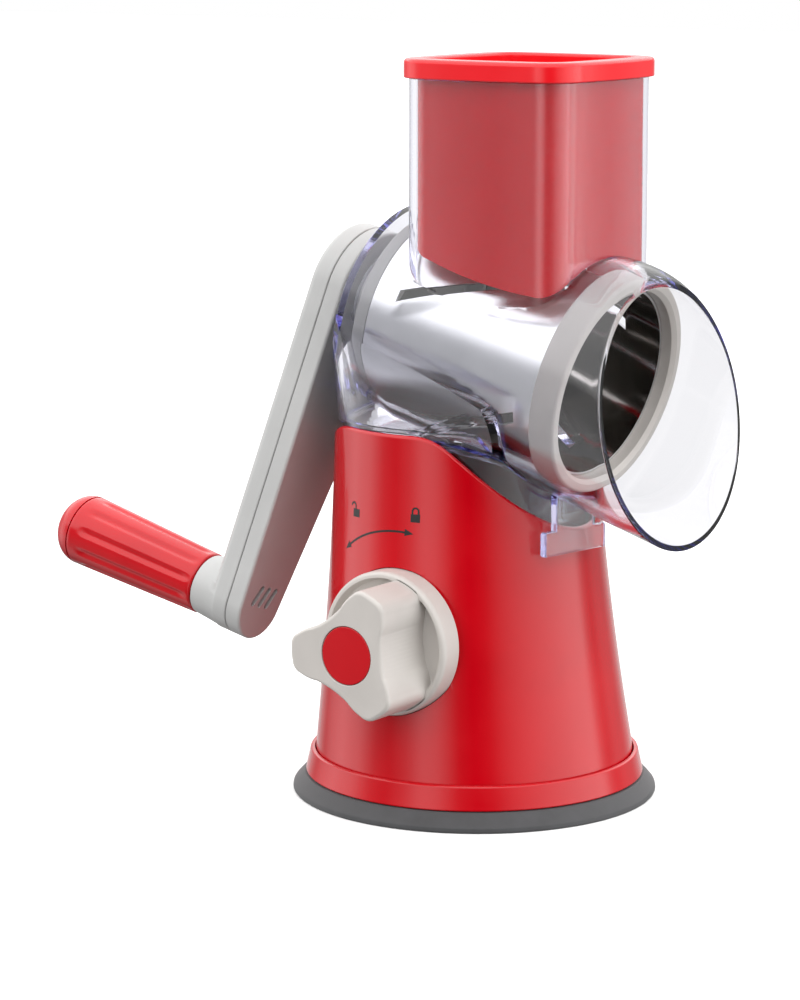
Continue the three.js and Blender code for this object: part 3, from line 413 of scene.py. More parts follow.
def grey_abs(name, dark, light):
    """Satin moulded ABS: a spark-eroded mould gives a fine even grain that spreads highlights.

    The grain is drawn coarser than such a mould leaves it, so that it shows.
    """
    material, shader = new_material(name)
    place, cloud = mottled(shader, dark, light, 18)
    uneven_gloss(shader, cloud.outputs["Fac"], 0.34, 0.42)
    grained(shader, place, 0.5, 0.004)
    shader.inputs["IOR"].default_value = 1.5
    return material


def black_rubber():
    """Moulded rubber: matt and slightly dusty, with a soft sheen at grazing angles.

    Its grain is drawn coarser than real, so that it shows.
    """
    material, shader = new_material("moulded_black_rubber")
    place, cloud = mottled(shader, "#333335", "#424244", 7, detail=6)
    uneven_gloss(shader, cloud.outputs["Fac"], 0.55, 0.72)
    grained(shader, place, 0.45, 0.02)
    shader.inputs["IOR"].default_value = 1.52
    shader.inputs["Sheen Weight"].default_value = 0.15
    return material


def clear_styrene():
    """Clear moulded styrene: water clear face on, violet where light runs along the wall."""
    material, shader = new_material("clear_moulded_styrene")
    shader.inputs["Base Color"].default_value = colour("#FFFFFF")
    shader.inputs["Transmission Weight"].default_value = 1
    shader.inputs["Roughness"].default_value = 0
    shader.inputs["IOR"].default_value = 1.49
    place = node(shader, "ShaderNodeTexCoord").outputs["Object"]
    # The mould's slow flow lines, which bend what is seen in and through the wall a little.
    grained(shader, place, 22, 0.015)
    tint = node(shader, "ShaderNodeVolumeAbsorption", Color=colour("#7F7BE8"), Density=20)
    output = material.node_tree.nodes["Material Output"]
    material.node_tree.links.new(tint.outputs["Volume"], output.inputs["Volume"])
    return material


def steel(name, dark, light, roughness, haze_mm):
    """Bright metal sheet or plate: smooth, with a faint haze in its gloss from finishing."""
    material, shader = new_material(name)
    shader.inputs["Metallic"].default_value = 1
    place, _ = mottled(shader, dark, light, 20)
    haze = node(shader, "ShaderNodeTexNoise", Vector=place, Scale=per_metre(haze_mm), Detail=3)
    uneven_gloss(shader, haze.outputs["Fac"], roughness, roughness + 0.07)
    bump = node(shader, "ShaderNodeBump", Height=haze.outputs["Fac"], Strength=0.3)
    bump.inputs["Distance"].default_value = 0.002 * MM
    shader.id_data.links.new(bump.outputs["Normal"], shader.inputs["Normal"])
    return material


def dark_acetal():
    """Moulded acetal: a waxy, dark engineering plastic with a soft highlight."""
    material, shader = new_material("moulded_dark_acetal")
    place, cloud = mottled(shader, "#4C4F53", "#5A5D61", 9)
    uneven_gloss(shader, cloud.outputs["Fac"], 0.4, 0.52)
    grained(shader, place, 0.6, 0.006)
    return material


def printed_ink():
    """Pad-printed ink: a thin matt black film with slightly uneven cover."""
    material, shader = new_material("pad_printed_black_ink")
    place, cloud = mottled(shader, "#0C0A0A", "#171414", 2)
    uneven_gloss(shader, cloud.outputs["Fac"], 0.4, 0.55)
    grained(shader, place, 0.3, 0.003)
    return material


RED = red_abs("gloss_red_abs", "#B80010", "#C00212")
BRIGHT_RED = red_abs("gloss_bright_red_abs", "#E4161F", "#EA1C26")
GREY = grey_abs("satin_grey_abs", "#AFAFAE", "#B5B5B4")
WARM_GREY = grey_abs("satin_warm_grey_abs", "#BAB5B0", "#C2BDB8")
RUBBER = black_rubber()
CLEAR = clear_styrene()
# Rolled sheet spreads its highlights, polished sheet mirrors, and zinc plate is a duller blue grey.
SATIN_STEEL = steel("satin_stainless_sheet", "#E4E5E7", "#EDEEF0", 0.3, 0.5)
POLISHED = steel("polished_stainless_sheet", "#A8A4A0", "#B8B4B0", 0.07, 0.5)
ZINC = steel("zinc_plated_steel", "#8E9196", "#A9ACB0", 0.28, 0.8)
DARK = dark_acetal()
INK = printed_ink()

# ---- foot, ring and body ------------------------------------------------------------------------


def rubber_foot():
    inner = RING_FOOT_RADIUS - 8.1
    thin = 2.5
    corners = [
        (0, 0, 0),
        (FOOT_RADIUS, 0, 0.7),
        (FOOT_RADIUS - 0.3, 1.9, 1.2),
        (RING_FOOT_RADIUS + 0.4, FOOT_RIM, 0.4),
        (inner, FOOT_RIM, 0.5),
        (inner - 3.7, thin, 1),
        (0, thin, 0),
    ]
    return turned("foot", corners, segments=240)


def red_ring():
    bore = BODY_FOOT_RADIUS + GAP
    flange = RING_LOW + 2.6
    flange_width = 9
    corners = [
        (bore - flange_width, RING_LOW, 0.2),
        (RING_FOOT_RADIUS, RING_LOW, 0.6),
        (RING_FOOT_RADIUS - RING_DRAFT, RING_TOP, 0.8),
        (bore, RING_TOP, 0.2),
        (bore, flange, 0),
        (bore - flange_width, flange, 0),
    ]
    return turned("ring", corners, segments=240, closed=True)


def flare(z):
    """How far down the body's flare a height is: 1 at the foot and 0 at the neck."""
    up = min(max((z - RING_TOP) / (BODY_TOP - RING_TOP), 0), 1)
    return (1 - up) ** 1.5


def body_radius(z):
    return lerp(BODY_NECK_RADIUS, BODY_FOOT_RADIUS, flare(z))


def body_centre(z):
    return BODY_LEAN * (1 - flare(z))


def body_point(turn, z, inset=0):
    radius = body_radius(z) - inset
    return Vector((radius * math.cos(turn), body_centre(z) + radius * math.sin(turn), z))


def saddle_height(turn):
    """Height of the body's top edge: flat, but hollowed where the drum housing lies over it."""
    height = BODY_TOP
    blend = 5
    for _ in range(6):
        point = body_point(turn, height)
        axis = PIVOT.z + (point.y - PIVOT.y) * math.tan(TILT)
        under = math.sqrt(max(SADDLE_RADIUS**2 - point.x**2, 0)) / math.cos(TILT)
        hollow = axis - under
        near = max(blend - abs(hollow - BODY_TOP), 0) / blend
        height = min(hollow, BODY_TOP) - near * near * blend / 4
    return height


def red_body():
    segments = 288
    side_steps = 22
    edge = BODY_WALL / 2
    turns = [2 * math.pi * i / segments for i in range(segments)]
    tops = [saddle_height(turn) for turn in turns]
    rings = []
    for k in range(side_steps + 1):
        share = k / side_steps
        rings.append(
            [body_point(t, lerp(BODY_LOW, top - edge, share)) for t, top in zip(turns, tops)]
        )
    round_steps = 8
    for k in range(1, round_steps):
        bend = math.pi * k / round_steps
        inset = edge - edge * math.cos(bend)
        rise = edge * math.sin(bend)
        rings.append([body_point(t, top - edge + rise, inset) for t, top in zip(turns, tops)])
    for k in range(side_steps + 1):
        share = 1 - k / side_steps
        rings.append(
            [
                body_point(t, lerp(BODY_LOW, top - edge, share), BODY_WALL)
                for t, top in zip(turns, tops)
            ]
        )
    body = new_object("body", *skin(rings, closed=True))
    pad_low = SKIRT_LOW - 3
    pad = rod(COLLAR_RADIUS + 3, pad_low, COLLAR_LOW - GAP, KNOB, 160)
    # The pad backs the body's wall inside and never shows through it.
    pad_top, pad_steps, pad_inset = 120, 12, 0.8
    heights = [lerp(RING_TOP, pad_top, k / pad_steps) for k in range(pad_steps + 1)]
    profile = [(0, RING_TOP)]
    profile += [(body_radius(z) - pad_inset, z) for z in heights]
    profile += [(0, pad_top)]
    core_rings = [
        [p + Vector((0, body_centre(p.z), 0)) for p in ring] for ring in lathe_rings(profile)
    ]
    combine(pad, new_object("core", *skin(core_rings)), "INTERSECT")
    boss = rod(SKIRT_BORE - GAP, pad_low, COLLAR_LOW - GAP, KNOB, 160)
    outside = 80
    recess = rod(COLLAR_RADIUS + GAP, SKIRT_LOW - GAP, outside, KNOB, 160)
    shaft_hole = 5.35
    shaft = rod(shaft_hole, 20, outside, KNOB, 48)
    return cut(join(cut(join(body, pad), recess), boss), shaft)


# ---- lock knob ----------------------------------------------------------------------------------


def lobe_outline():
    """The knob's three blunt lobes: straight flanks, small round corners and wide round valleys."""
    corners = []
    tip, tip_half, tip_fillet = 24.2, 14, 4.5
    valley, valley_fillet = 13.6, 40
    lobe = ((-tip_half, tip, tip_fillet), (tip_half, tip, tip_fillet), (60, valley, valley_fillet))
    for lead in (65, 185, 305):
        for turn, radius, fillet in lobe:
            angle = math.radians(lead + turn)
            corners.append((radius * math.cos(angle), radius * math.sin(angle), fillet))
    return filleted(corners, closed=True, steps=10)


def radius_table(outline, segments):
    """The outline's distance from the centre at each of the segments' angles."""
    known = sorted((math.atan2(p.y, p.x) % (2 * math.pi), p.length) for p in outline)
    known = [(known[-1][0] - 2 * math.pi, known[-1][1])] + known
    known.append((known[1][0] + 2 * math.pi, known[1][1]))
    table = []
    at = 0
    for i in range(segments):
        turn = 2 * math.pi * i / segments
        while known[at + 1][0] < turn:
            at += 1
        (t0, r0), (t1, r1) = known[at], known[at + 1]
        table.append(lerp(r0, r1, (turn - t0) / (t1 - t0)))
    return table


def three_lobed_knob():
    segments = 360
    lobes = radius_table(lobe_outline(), segments)
    top, front = COLLAR_LOW + 6, KNOB_FRONT
    pocket_rim, pocket = COLLAR_RADIUS - 2.3, 3.8
    inlay, inlay_depth = 10.2, 1.6
    edge, shoulder, bend_steps = 1.5, 2.2, 6
    lip = 0.25
    pocket_fade = 2.4
    side_steps = 7
    depths = [pocket * smoothstep((pocket_rim - r) / pocket_fade) for r in lobes]

    def ring(radii, heights):
        radii = radii if isinstance(radii, list) else [radii] * segments
        heights = heights if isinstance(heights, list) else [heights] * segments
        made = []
        for i, (r, h) in enumerate(zip(radii, heights)):
            turn = 2 * math.pi * i / segments
            made.append(Vector((r * math.cos(turn), r * math.sin(turn), h)))
        return made

    rings = [[Vector((0, 0, COLLAR_LOW))], ring(SKIRT_BORE, COLLAR_LOW), ring(SKIRT_BORE, SKIRT_LOW)]
    rings.append(ring(COLLAR_RADIUS, SKIRT_LOW))
    for k in range(bend_steps + 1):
        bend = k / bend_steps * math.pi / 2
        inset = shoulder * 0.6 * (1 - math.cos(bend))
        rings.append(ring(COLLAR_RADIUS - inset, top - shoulder * (1 - math.sin(bend))))
    rim = [max(pocket_rim, r + lip) for r in lobes]
    floor = [top - depth for depth in depths]
    inner = [lerp(a, b, 0.12) for a, b in zip(rim, lobes)]
    near = [lerp(a, b, 0.85) for a, b in zip(rim, lobes)]
    rings.append(ring([r + lip for r in rim], top))
    rings.append(ring(rim, [lerp(top, f, 0.08) for f in floor]))
    rings.append(ring(inner, [lerp(top, f, 0.75) for f in floor]))
    rings.append(ring([lerp(a, b, 0.35) for a, b in zip(rim, lobes)], floor))
    rings.append(ring(near, floor))
    for k in range(side_steps + 1):
        rings.append(ring(lobes, [lerp(f + 0.2, front - edge, k / side_steps) for f in floor]))
    for k in range(1, bend_steps + 1):
        bend = k / bend_steps * math.pi / 2
        inset = edge * (1 - math.cos(bend))
        rings.append(ring([r - inset for r in lobes], front - edge * (1 - math.sin(bend))))
    rings.append(ring(inlay + 0.2, front))
    rings.append(ring(inlay, front - 0.2))
    rings.append(ring(inlay, front - inlay_depth))
    rings.append([Vector((0, 0, front - inlay_depth))])
    return new_object("knob", *skin(rings), KNOB)


def red_disc():
    back = KNOB_FRONT - 1.3
    rim = KNOB_FRONT - 0.12
    radius = 10
    corners = [(0, back, 0), (radius, back, 0.1), (radius, rim, 0.35), (0, KNOB_FRONT, 0)]
    return turned("disc", corners, KNOB, 96)


# ---- clear housing ------------------------------------------------------------------------------


def barrel_radius(s):
    ring_back = DRUM_RING_FRONT - DRUM_RING_WIDTH
    if s < ring_back:
        along = (s + HOUSING_BACK) / (ring_back + HOUSING_BACK)
        return lerp(HOUSING_BACK_RADIUS, HOUSING_RING_RADIUS, along**2)
    out = (s - ring_back) / (HOUSING_FRONT - ring_back)
    return lerp(HOUSING_RING_RADIUS, OUTLET_RADIUS, out)


def leaned(point):
    """Leans the barrel's rings back, more and more towards the outlet's rim."""
    out = min(max(point.z / HOUSING_FRONT, 0), 1.1)
    lean = OUTLET_TILT * out**2
    up = point.y * math.cos(lean) - OUTLET_DROP * out**4
    return Vector((point.x, up, point.z - point.y * math.sin(lean)))


def barrel(inset, start, end):
    steps = 30
    profile = [(0, start)]
    for k in range(steps + 1):
        s = lerp(start, end, k / steps)
        profile.append((barrel_radius(s) - inset, s))
    profile.append((0, end))
    rings = [[leaned(p) for p in ring] for ring in lathe_rings(profile, 192)]
    return new_object("barrel", *skin(rings), DRUM)


def neck(inset):
    """The housing's foot, drawn in from the body's round top to the barrel's sides."""
    hull = bmesh.new()
    shoulder = BODY_TOP + GAP
    front = 28.25
    foot = BODY_NECK_RADIUS - 1 - inset
    top = HOUSING_BACK_RADIUS - inset
    count = 160
    for i in range(count):
        turn = 2 * math.pi * i / count
        hull.verts.new((foot * math.cos(turn), BODY_LEAN + foot * math.sin(turn), shoulder))
    arc = 60
    for i in range(arc + 1):
        turn = math.pi + math.pi * i / arc
        for s in (-HOUSING_BACK + inset, front):
            hull.verts.new(DRUM @ Vector((top * math.cos(turn), top * math.sin(turn), s)))
    made = bmesh.ops.convex_hull(hull, input=hull.verts)
    spare = [v for v in made["geom_interior"] if isinstance(v, bmesh.types.BMVert)]
    bmesh.ops.delete(hull, geom=spare, context="VERTS")
    points = [v.co.copy() for v in hull.verts]
    hull.verts.index_update()
    faces = [[v.index for v in face.verts] for face in hull.faces]
    hull.free()
    return new_object("neck", points, faces)


def prism(width, corner, bottom, top):
    """An upright block with the hopper's rounded outline, centred on the hopper."""
    outline = rounded_square(width, corner)
    rings = [[Vector((x, y + HOPPER_Y, z)) for x, y in outline] for z in (bottom, top)]
    return capped("prism", rings)


def body_room():
    """What the body fills below the housing's shoulder, with a gap all round."""
    steps = 8
    bottom, shoulder = 92, BODY_TOP + GAP
    heights = [lerp(bottom, shoulder, k / steps) for k in range(steps + 1)]
    profile = [(0, bottom)]
    profile += [(body_radius(z) + GAP, z) for z in heights]
    profile += [(0, shoulder)]
    rings = [
        [p + Vector((0, body_centre(p.z), 0)) for p in ring] for ring in lathe_rings(profile, 160)
    ]
    saddle = rod(SADDLE_RADIUS - 0.6, -120, 120, DRUM, 160)
    return cut(new_object("room", *skin(rings)), saddle)


def finger_tab():
    """The T-shaped tab below the outlet: a bar across the foot of a short stem."""
    lowest, thick = 91.9, 3
    bar_width, bar_height, stem_width, stem_height, stem_z = 31, 8.6, 20, 24, 110
    turn = Matrix.Translation((0, body_centre(100), 0)) @ Matrix.Rotation(
        math.radians(-10), 4, "Z"
    )
    y = -body_radius(lowest) - 2.1
    bar = soften(box(bar_width, thick, bar_height, (0, y, 96.2), turn), 0.9, 40, 4)
    stem = soften(box(stem_width, thick, stem_height, (0, y, stem_z), turn), 0.5, 40, 3)
    return bar, stem


def clear_moulding():
    outer = soften(barrel(0, -HOUSING_BACK, HOUSING_FRONT), 0.7, 50, 3)
    spigot_bore, spigot_radius, spigot_low, spigot_top = 41.15, 43.35, 92.3, 134.2
    spigot = turned(
        "spigot",
        [
            (spigot_bore, spigot_low, 0.5),
            (spigot_radius, spigot_low, 0.5),
            (spigot_radius, spigot_top, 0),
            (spigot_bore, spigot_top, 0),
        ],
        Matrix.Translation((0, BODY_LEAN, 0)),
        closed=True,
    )
    skirt = cut(neck(0), neck(HOUSING_WALL), body_room())
    throat_width, throat_corner = HOPPER_WIDTH - 2 * HOPPER_WALL, HOPPER_CORNER - HOPPER_WALL
    hopper = cut(
        prism(HOPPER_WIDTH, HOPPER_CORNER, PIVOT.z, HOPPER_TOP),
        prism(throat_width, throat_corner, PIVOT.z - 1, HOPPER_TOP + 1),
    )
    bearing = rod(BEARING_RADIUS, -HOUSING_BACK - 7.4, -HOUSING_BACK + 1, DRUM)
    housing = join(outer, skirt, hopper, spigot, *finger_tab(), bearing)
    inner = barrel(HOUSING_WALL, -HOUSING_BACK + HOUSING_WALL, HOUSING_FRONT + 3)
    throat = prism(throat_width, throat_corner, PIVOT.z, HOPPER_TOP + 1)
    bore = rod(COUPLING_BORE, -HOUSING_BACK - 30, 0, DRUM)
    return cut(housing, inner, throat, bore)


# ---- pusher -------------------------------------------------------------------------------------


def food_pusher():
    clearance = 3
    width = HOPPER_WIDTH - 2 * clearance
    corner = HOPPER_CORNER - clearance
    wall = 2.4
    lip = 1.9
    lip_low = HOPPER_TOP + GAP
    # Its lower end is hollowed round the drum, and a roof of the wall's thickness closes it.
    hollow = DRUM_RING_RADIUS + 2.2
    reach = 90
    profile = [
        (0, PIVOT.z, 0),
        (0, lip_low, 0),
        (clearance + lip, lip_low, 0.5),
        (clearance + lip, LIP_TOP, 1.6),
        (-wall, LIP_TOP, 1.2),
        (-wall, PIVOT.z + 1, 0),
    ]
    rings = []
    for grow, z in filleted(profile):
        outline = rounded_square(width + 2 * grow, corner + grow)
        rings.append([Vector((x, y + HOPPER_Y, z)) for x, y in outline])
    shell = capped("pusher", rings)
    floor = cut(
        prism(width - 2 * wall + 1, corner - wall + 0.5, PIVOT.z + 1, PIVOT.z + 60),
        rod(hollow, -reach, reach, DRUM, 192),
    )
    roof = rod(hollow + wall, -reach, reach, DRUM, 192)
    combine(floor, roof, "INTERSECT")
    return join(cut(shell, rod(hollow, -reach, reach, DRUM, 192)), floor)


# ---- drum ---------------------------------------------------------------------------------------


def drum_sheet():
    """The steel sleeve. Its grid twists with the slots, so that each slot is a run of cells."""
    slots, slot_cells, lip_cells = 4, 5, 7
    segments, steps = 240, 60
    start, end = -DRUM_BACK + 5.3, DRUM_RING_FRONT - 5.4
    set_back = 5.1
    middle = (start + end - set_back) / 2
    slant = math.radians(26)
    twist = -math.tan(slant) / SHELL_RADIUS
    first_slot = math.radians(46 - 90)
    first = first_slot - math.pi * slot_cells / segments
    slot_half = 27
    per_slot = segments // slots
    sheet, lip_height = 0.8, 0.9

    def along(k):
        return lerp(start, end, k / steps)

    def open_share(s):
        return smoothstep((slot_half + 2 - abs(s - middle)) / 5)

    rings = []
    for k in range(steps + 1):
        s = along(k)
        ring = []
        for i in range(segments):
            step = i % per_slot
            after = step - slot_cells
            pressed = smoothstep(1 - after / lip_cells) if 0 <= after < lip_cells else 0
            radius = SHELL_RADIUS + lip_height * pressed * open_share(s)
            turn = first + 2 * math.pi * i / segments + twist * (s - middle)
            ring.append(Vector((radius * math.cos(turn), radius * math.sin(turn), s)))
        rings.append(ring)
    points, faces = skin(rings)
    kept = []
    for number, face in enumerate(faces):
        k, i = divmod(number, segments)
        s = (along(k) + along(k + 1)) / 2
        gap = i % per_slot < slot_cells and abs(s - middle) < slot_half
        if not gap:
            kept.append(face)
    shell = new_object("sheet", points, kept, DRUM)
    thicken = shell.modifiers.new("thicken", "SOLIDIFY")
    thicken.thickness = sheet * MM
    thicken.offset = -1
    thicken.material_offset = 1
    shell.data.materials.append(SATIN_STEEL)
    shell.data.materials.append(POLISHED)
    return bake(shell)


def drum_rim():
    back = DRUM_RING_FRONT - DRUM_RING_WIDTH
    bore = SHELL_RADIUS + GAP
    corners = [
        (bore, back, 0.2),
        (DRUM_RING_RADIUS, back, 0.9),
        (DRUM_RING_RADIUS, DRUM_RING_FRONT, 1.2),
        (bore + 1.6, DRUM_RING_FRONT, 0.4),
        (bore, DRUM_RING_FRONT - 1.3, 0.4),
    ]
    return turned("rim", corners, DRUM, 192, closed=True)


def drum_hub():
    spigot = SHELL_RADIUS - 1.1
    inner = COUPLING_RADIUS - 2.2
    coupling_end = CRANK_BACK - 2.5
    corners = [
        (inner, -coupling_end, 0.3),
        (COUPLING_RADIUS, -coupling_end, 0.5),
        (COUPLING_RADIUS, -DRUM_BACK, 0.8),
        (SHELL_RADIUS, -DRUM_BACK, 0.8),
        (SHELL_RADIUS, -DRUM_BACK + 5, 0.2),
        (spigot, -DRUM_BACK + 5, 0),
        (spigot, -DRUM_BACK + 10, 0.3),
        (spigot - 2, -DRUM_BACK + 10, 0.3),
        (spigot - 2, -DRUM_BACK + 2.4, 1),
        (inner, -DRUM_BACK + 2.4, 0.3),
    ]
    hub = turned("hub", corners, CRANK, 160, closed=True)
    flat_from = HOUSING_BACK + 8.4
    length = coupling_end + 1 - flat_from
    middle = -(flat_from + coupling_end + 1) / 2
    flat_depth, block = 1.4, 20
    flats = [
        box(block, 60, length, (side * (COUPLING_RADIUS - flat_depth + block / 2), 0, middle), CRANK)
        for side in (-1, 1)
    ]
    window = box(5, 8.8, 5, (0, COUPLING_RADIUS, -coupling_end + 5.6), CRANK)
    return cut(hub, window, *flats)


# ---- crank --------------------------------------------------------------------------------------


def arm_outline(inset, z):
    """The arm's outline: a large round head, a small round tail, straight sides between."""
    head, tail = CRANK_HEAD - inset, CRANK_TAIL - inset
    slope = math.asin((head - tail) / CRANK_LENGTH)
    steps = 48
    outline = []
    for k in range(steps + 1):
        turn = lerp(-slope, math.pi + slope, k / steps)
        outline.append(Vector((head * math.cos(turn), head * math.sin(turn), z)))
    for k in range(steps + 1):
        turn = lerp(math.pi + slope, 2 * math.pi - slope, k / steps)
        outline.append(Vector((tail * math.cos(turn), tail * math.sin(turn) - CRANK_LENGTH, z)))
    return outline


def arm_shell(name, face, seam, edge):
    """Half of the arm: its outside is rounded at the face and has a fine groove at the seam."""
    wall = 2.2
    inward = 1 if seam > face else -1
    steps = 6
    rings = []
    for k in range(steps + 1):
        bend = k / steps * math.pi / 2
        inset = edge * (1 - math.sin(bend))
        rise = edge * (1 - math.cos(bend))
        rings.append(arm_outline(inset, face + inward * rise))
    rings.append(arm_outline(0, seam - inward * 0.45))
    rings.append(arm_outline(0.3, seam - inward * 0.15))
    rings.append(arm_outline(wall, seam - inward * 0.15))
    rings.append(arm_outline(wall, face + inward * (wall + 0.6)))
    rings.append(arm_outline(wall + 0.6, face + inward * wall))
    return capped(name, rings, CRANK)


def crank_front():
    shell = arm_shell("front", -CRANK_FACE, -SEAM, 1.1)
    hole = rod(BEARING_RADIUS + GAP, -90, -60, CRANK)
    vent_pitch, vent_slant = 4.4, math.radians(-24)
    vent_half_width, vent_half_run = 1.1, 3.2
    vents = []
    for k in range(3):
        place = (
            CRANK
            @ Matrix.Translation(((k - 1) * vent_pitch, -CRANK_LENGTH + 3.6, 0))
            @ Matrix.Rotation(vent_slant, 4, "Z")
        )
        slot = []
        for z in (-SEAM + 2, -CRANK_FACE + 2):
            ring = []
            for i in range(24):
                turn = 2 * math.pi * i / 24
                lift = vent_half_run if math.sin(turn) > 0 else -vent_half_run
                x, y = vent_half_width * math.cos(turn), vent_half_width * math.sin(turn) + lift
                ring.append(Vector((x, y, z)))
            slot.append(ring)
        vents.append(capped("vent", slot, place))
    return cut(shell, hole, *vents)


def crank_back():
    shell = arm_shell("back", -CRANK_BACK, -SEAM, 3)
    socket = rod(BEARING_RADIUS, -CRANK_BACK + 1, -CRANK_FACE - GAP, CRANK)
    grip_side = GRIP_START - GAP
    spindle_hole, screw_hole = 4.1, 3.3
    boss = turned(
        "boss",
        [
            (0, -grip_side, 0),
            (GRIP_NEAR - 0.3, -grip_side, 0.6),
            (CRANK_TAIL - 0.7, -CRANK_BACK - 2.5, 3),
            (CRANK_TAIL - 0.15, -CRANK_BACK + 3.2, 0),
            (0, -CRANK_BACK + 3.2, 0),
        ],
        GRIP,
        128,
    )
    cuts = [
        rod(COUPLING_BORE, -CRANK_BACK + 2.2, -60, CRANK),
        rod(spindle_hole, -grip_side - 1, -70, GRIP, 48),
    ]
    for share in SCREW_SHARES:
        place = CRANK @ Matrix.Translation((0, -share * CRANK_LENGTH, 0))
        cuts.append(rod(screw_hole, -CRANK_BACK - 1, -CRANK_BACK + 2.8, place, 48))
    return cut(join(shell, socket, boss), *cuts)


def cross_screw(share):
    """A small screw with a cross recess in its head."""
    place = CRANK @ Matrix.Translation((0, -share * CRANK_LENGTH, 0))
    seat = -CRANK_BACK + 2.5
    head, head_height, shank, tip = 3, 2, 1.5, seat + 9
    corners = [
        (0, seat - head_height, 0),
        (head, seat - head_height, 0.5),
        (head, seat, 0),
        (shank, seat, 0),
        (shank, tip, 0),
        (0, tip, 0),
    ]
    screw = turned("screw", corners, place, 48)
    turn = place @ Matrix.Rotation(math.radians(20 + 40 * share), 4, "Z")
    narrow, long, deep = 0.7, 3.4, 1.6
    face = (0, 0, seat - head_height)
    return cut(screw, box(narrow, long, deep, face, turn), box(long, narrow, deep, face, turn))


# ---- grip ---------------------------------------------------------------------------------------


def fluted_grip():
    segments, steps = 240, 64
    flutes, depth = 10, 0.75
    start, end = -GRIP_START, -GRIP_END
    length = GRIP_END - GRIP_START
    edge = 0.8
    rings = [[Vector((0, 0, start))]]
    stations = [(edge * (1 - math.cos(b)), edge * math.sin(b)) for b in (0.0, 0.5, 1.0, math.pi / 2)]
    profile = [(along, edge - rise) for along, rise in stations]
    profile += [(lerp(edge, length - edge, k / steps), 0) for k in range(1, steps)]
    profile += [(length - along, edge - rise) for along, rise in reversed(stations)]
    for along, inset in profile:
        share = along / length
        fade = smoothstep(share / 0.1) - smoothstep((share - 0.84) / 0.1)
        ring = []
        for i in range(segments):
            turn = 2 * math.pi * i / segments
            groove = max(math.cos(flutes * turn), 0) ** 1.5
            radius = lerp(GRIP_NEAR, GRIP_FAR, share) - inset - depth * fade * groove
            ring.append(Vector((radius * math.cos(turn), radius * math.sin(turn), start - along)))
        rings.append(ring)
    rings.append([Vector((0, 0, end))])
    grip = new_object("grip", *skin(rings), GRIP)
    bore_radius, well_radius, well_depth = 4.15, 8, 9.8
    bore = rod(bore_radius, end - 1, start + 1, GRIP, 48)
    well = rod(well_radius, end - 1, end + well_depth, GRIP, 64)
    return cut(grip, bore, well)


def grip_cap():
    base = -GRIP_END - 0.06
    dome = 10.2
    plug_radius, plug_length = 7.7, 3
    points = [
        Vector((0, base + plug_length)),
        Vector((plug_radius, base + plug_length)),
        Vector((plug_radius, base)),
    ]
    steps = 16
    for k in range(steps + 1):
        turn = k / steps * math.pi / 2
        points.append(Vector((GRIP_FAR * math.cos(turn), base - dome * math.sin(turn))))
    points[-1].x = 0
    return new_object("cap", *skin(lathe_rings(points, 160)), GRIP)


# ---- printed marks ------------------------------------------------------------------------------


def on_body(y, z):
    """The point of the body's -X side at a given y and height, a hair outside its surface."""
    reach = body_radius(z) ** 2 - (y - body_centre(z)) ** 2
    return Vector((-math.sqrt(reach) - 0.04, y, z))


def ribbon(centre_line, widths):
    """A printed stroke: a strip along a line of (y, z) points with a half-width at each."""
    points, faces = [], []
    for k, (y, z) in enumerate(centre_line):
        y0, z0 = centre_line[max(k - 1, 0)]
        y1, z1 = centre_line[min(k + 1, len(centre_line) - 1)]
        side = Vector((z0 - z1, y1 - y0)).normalized() * widths[k]
        points.append(on_body(y + side.x, z + side.y))
        points.append(on_body(y - side.x, z - side.y))
        if k:
            faces.append((2 * k - 2, 2 * k, 2 * k + 1, 2 * k - 1))
    return points, faces


def ring_line(centre, radius, start, end, steps):
    turns = [math.radians(lerp(start, end, k / steps)) for k in range(steps + 1)]
    return [(centre[0] + radius * math.cos(t), centre[1] + radius * math.sin(t)) for t in turns]


def stroke(line, half):
    return ribbon(line, [half] * len(line))


def lock_sign(centre, opened):
    """A small padlock; when it is open its shackle stands to one side."""
    y, z = centre
    body_line = [(y, lerp(z - 1.9, z + 0.9, k / 4)) for k in range(5)]
    shift = 1.5 if opened else 0
    shackle = [(y - 1.1 + shift, z + 0.9)] + ring_line((y + shift, z + 1.9), 1.1, 180, 0, 12)
    if not opened:
        shackle.append((y + 1.1, z + 0.9))
    return [stroke(body_line, 1.7), stroke(shackle, 0.32)]


def turn_marks():
    knob = (0, KNOB_Z)
    arc_start, arc_end, radius = 52.5, 95.5, 38
    parts = [stroke(ring_line(knob, radius, arc_start, arc_end, 40), 0.36)]
    for at, way in ((arc_start, -1), (arc_end, 1)):
        line = ring_line(knob, radius, at - way * 1.5, at + way * 3.4, 8)
        parts.append(ribbon(line, [1.25 * (1 - k / 8) for k in range(9)]))
    parts += lock_sign((19.5, 104.5), opened=True)
    parts += lock_sign((-6.4, 105.5), opened=False)
    points, faces = [], []
    for part_points, part_faces in parts:
        faces += [tuple(len(points) + v for v in face) for face in part_faces]
        points += part_points
    marks = new_object("marks", points, faces)
    film = marks.modifiers.new("film", "SOLIDIFY")
    film.thickness = 0.03 * MM
    film.offset = 0
    return bake(marks)


# ---- assembly -----------------------------------------------------------------------------------

add_piece(rubber_foot(), "rubber_foot", RUBBER, "base", ["suction_foot"])
add_piece(red_ring(), "stand_ring", RED, "base", ["base_ring"])
add_piece(red_body(), "stand_body", RED, "base", ["body_shell"])
add_piece(turn_marks(), "turn_marks", INK, "base")

add_piece(three_lobed_knob(), "three_lobed_knob", WARM_GREY, "lock", ["lock_knob"])
add_piece(red_disc(), "knob_disc", RED, "lock", ["knob_inlay"])

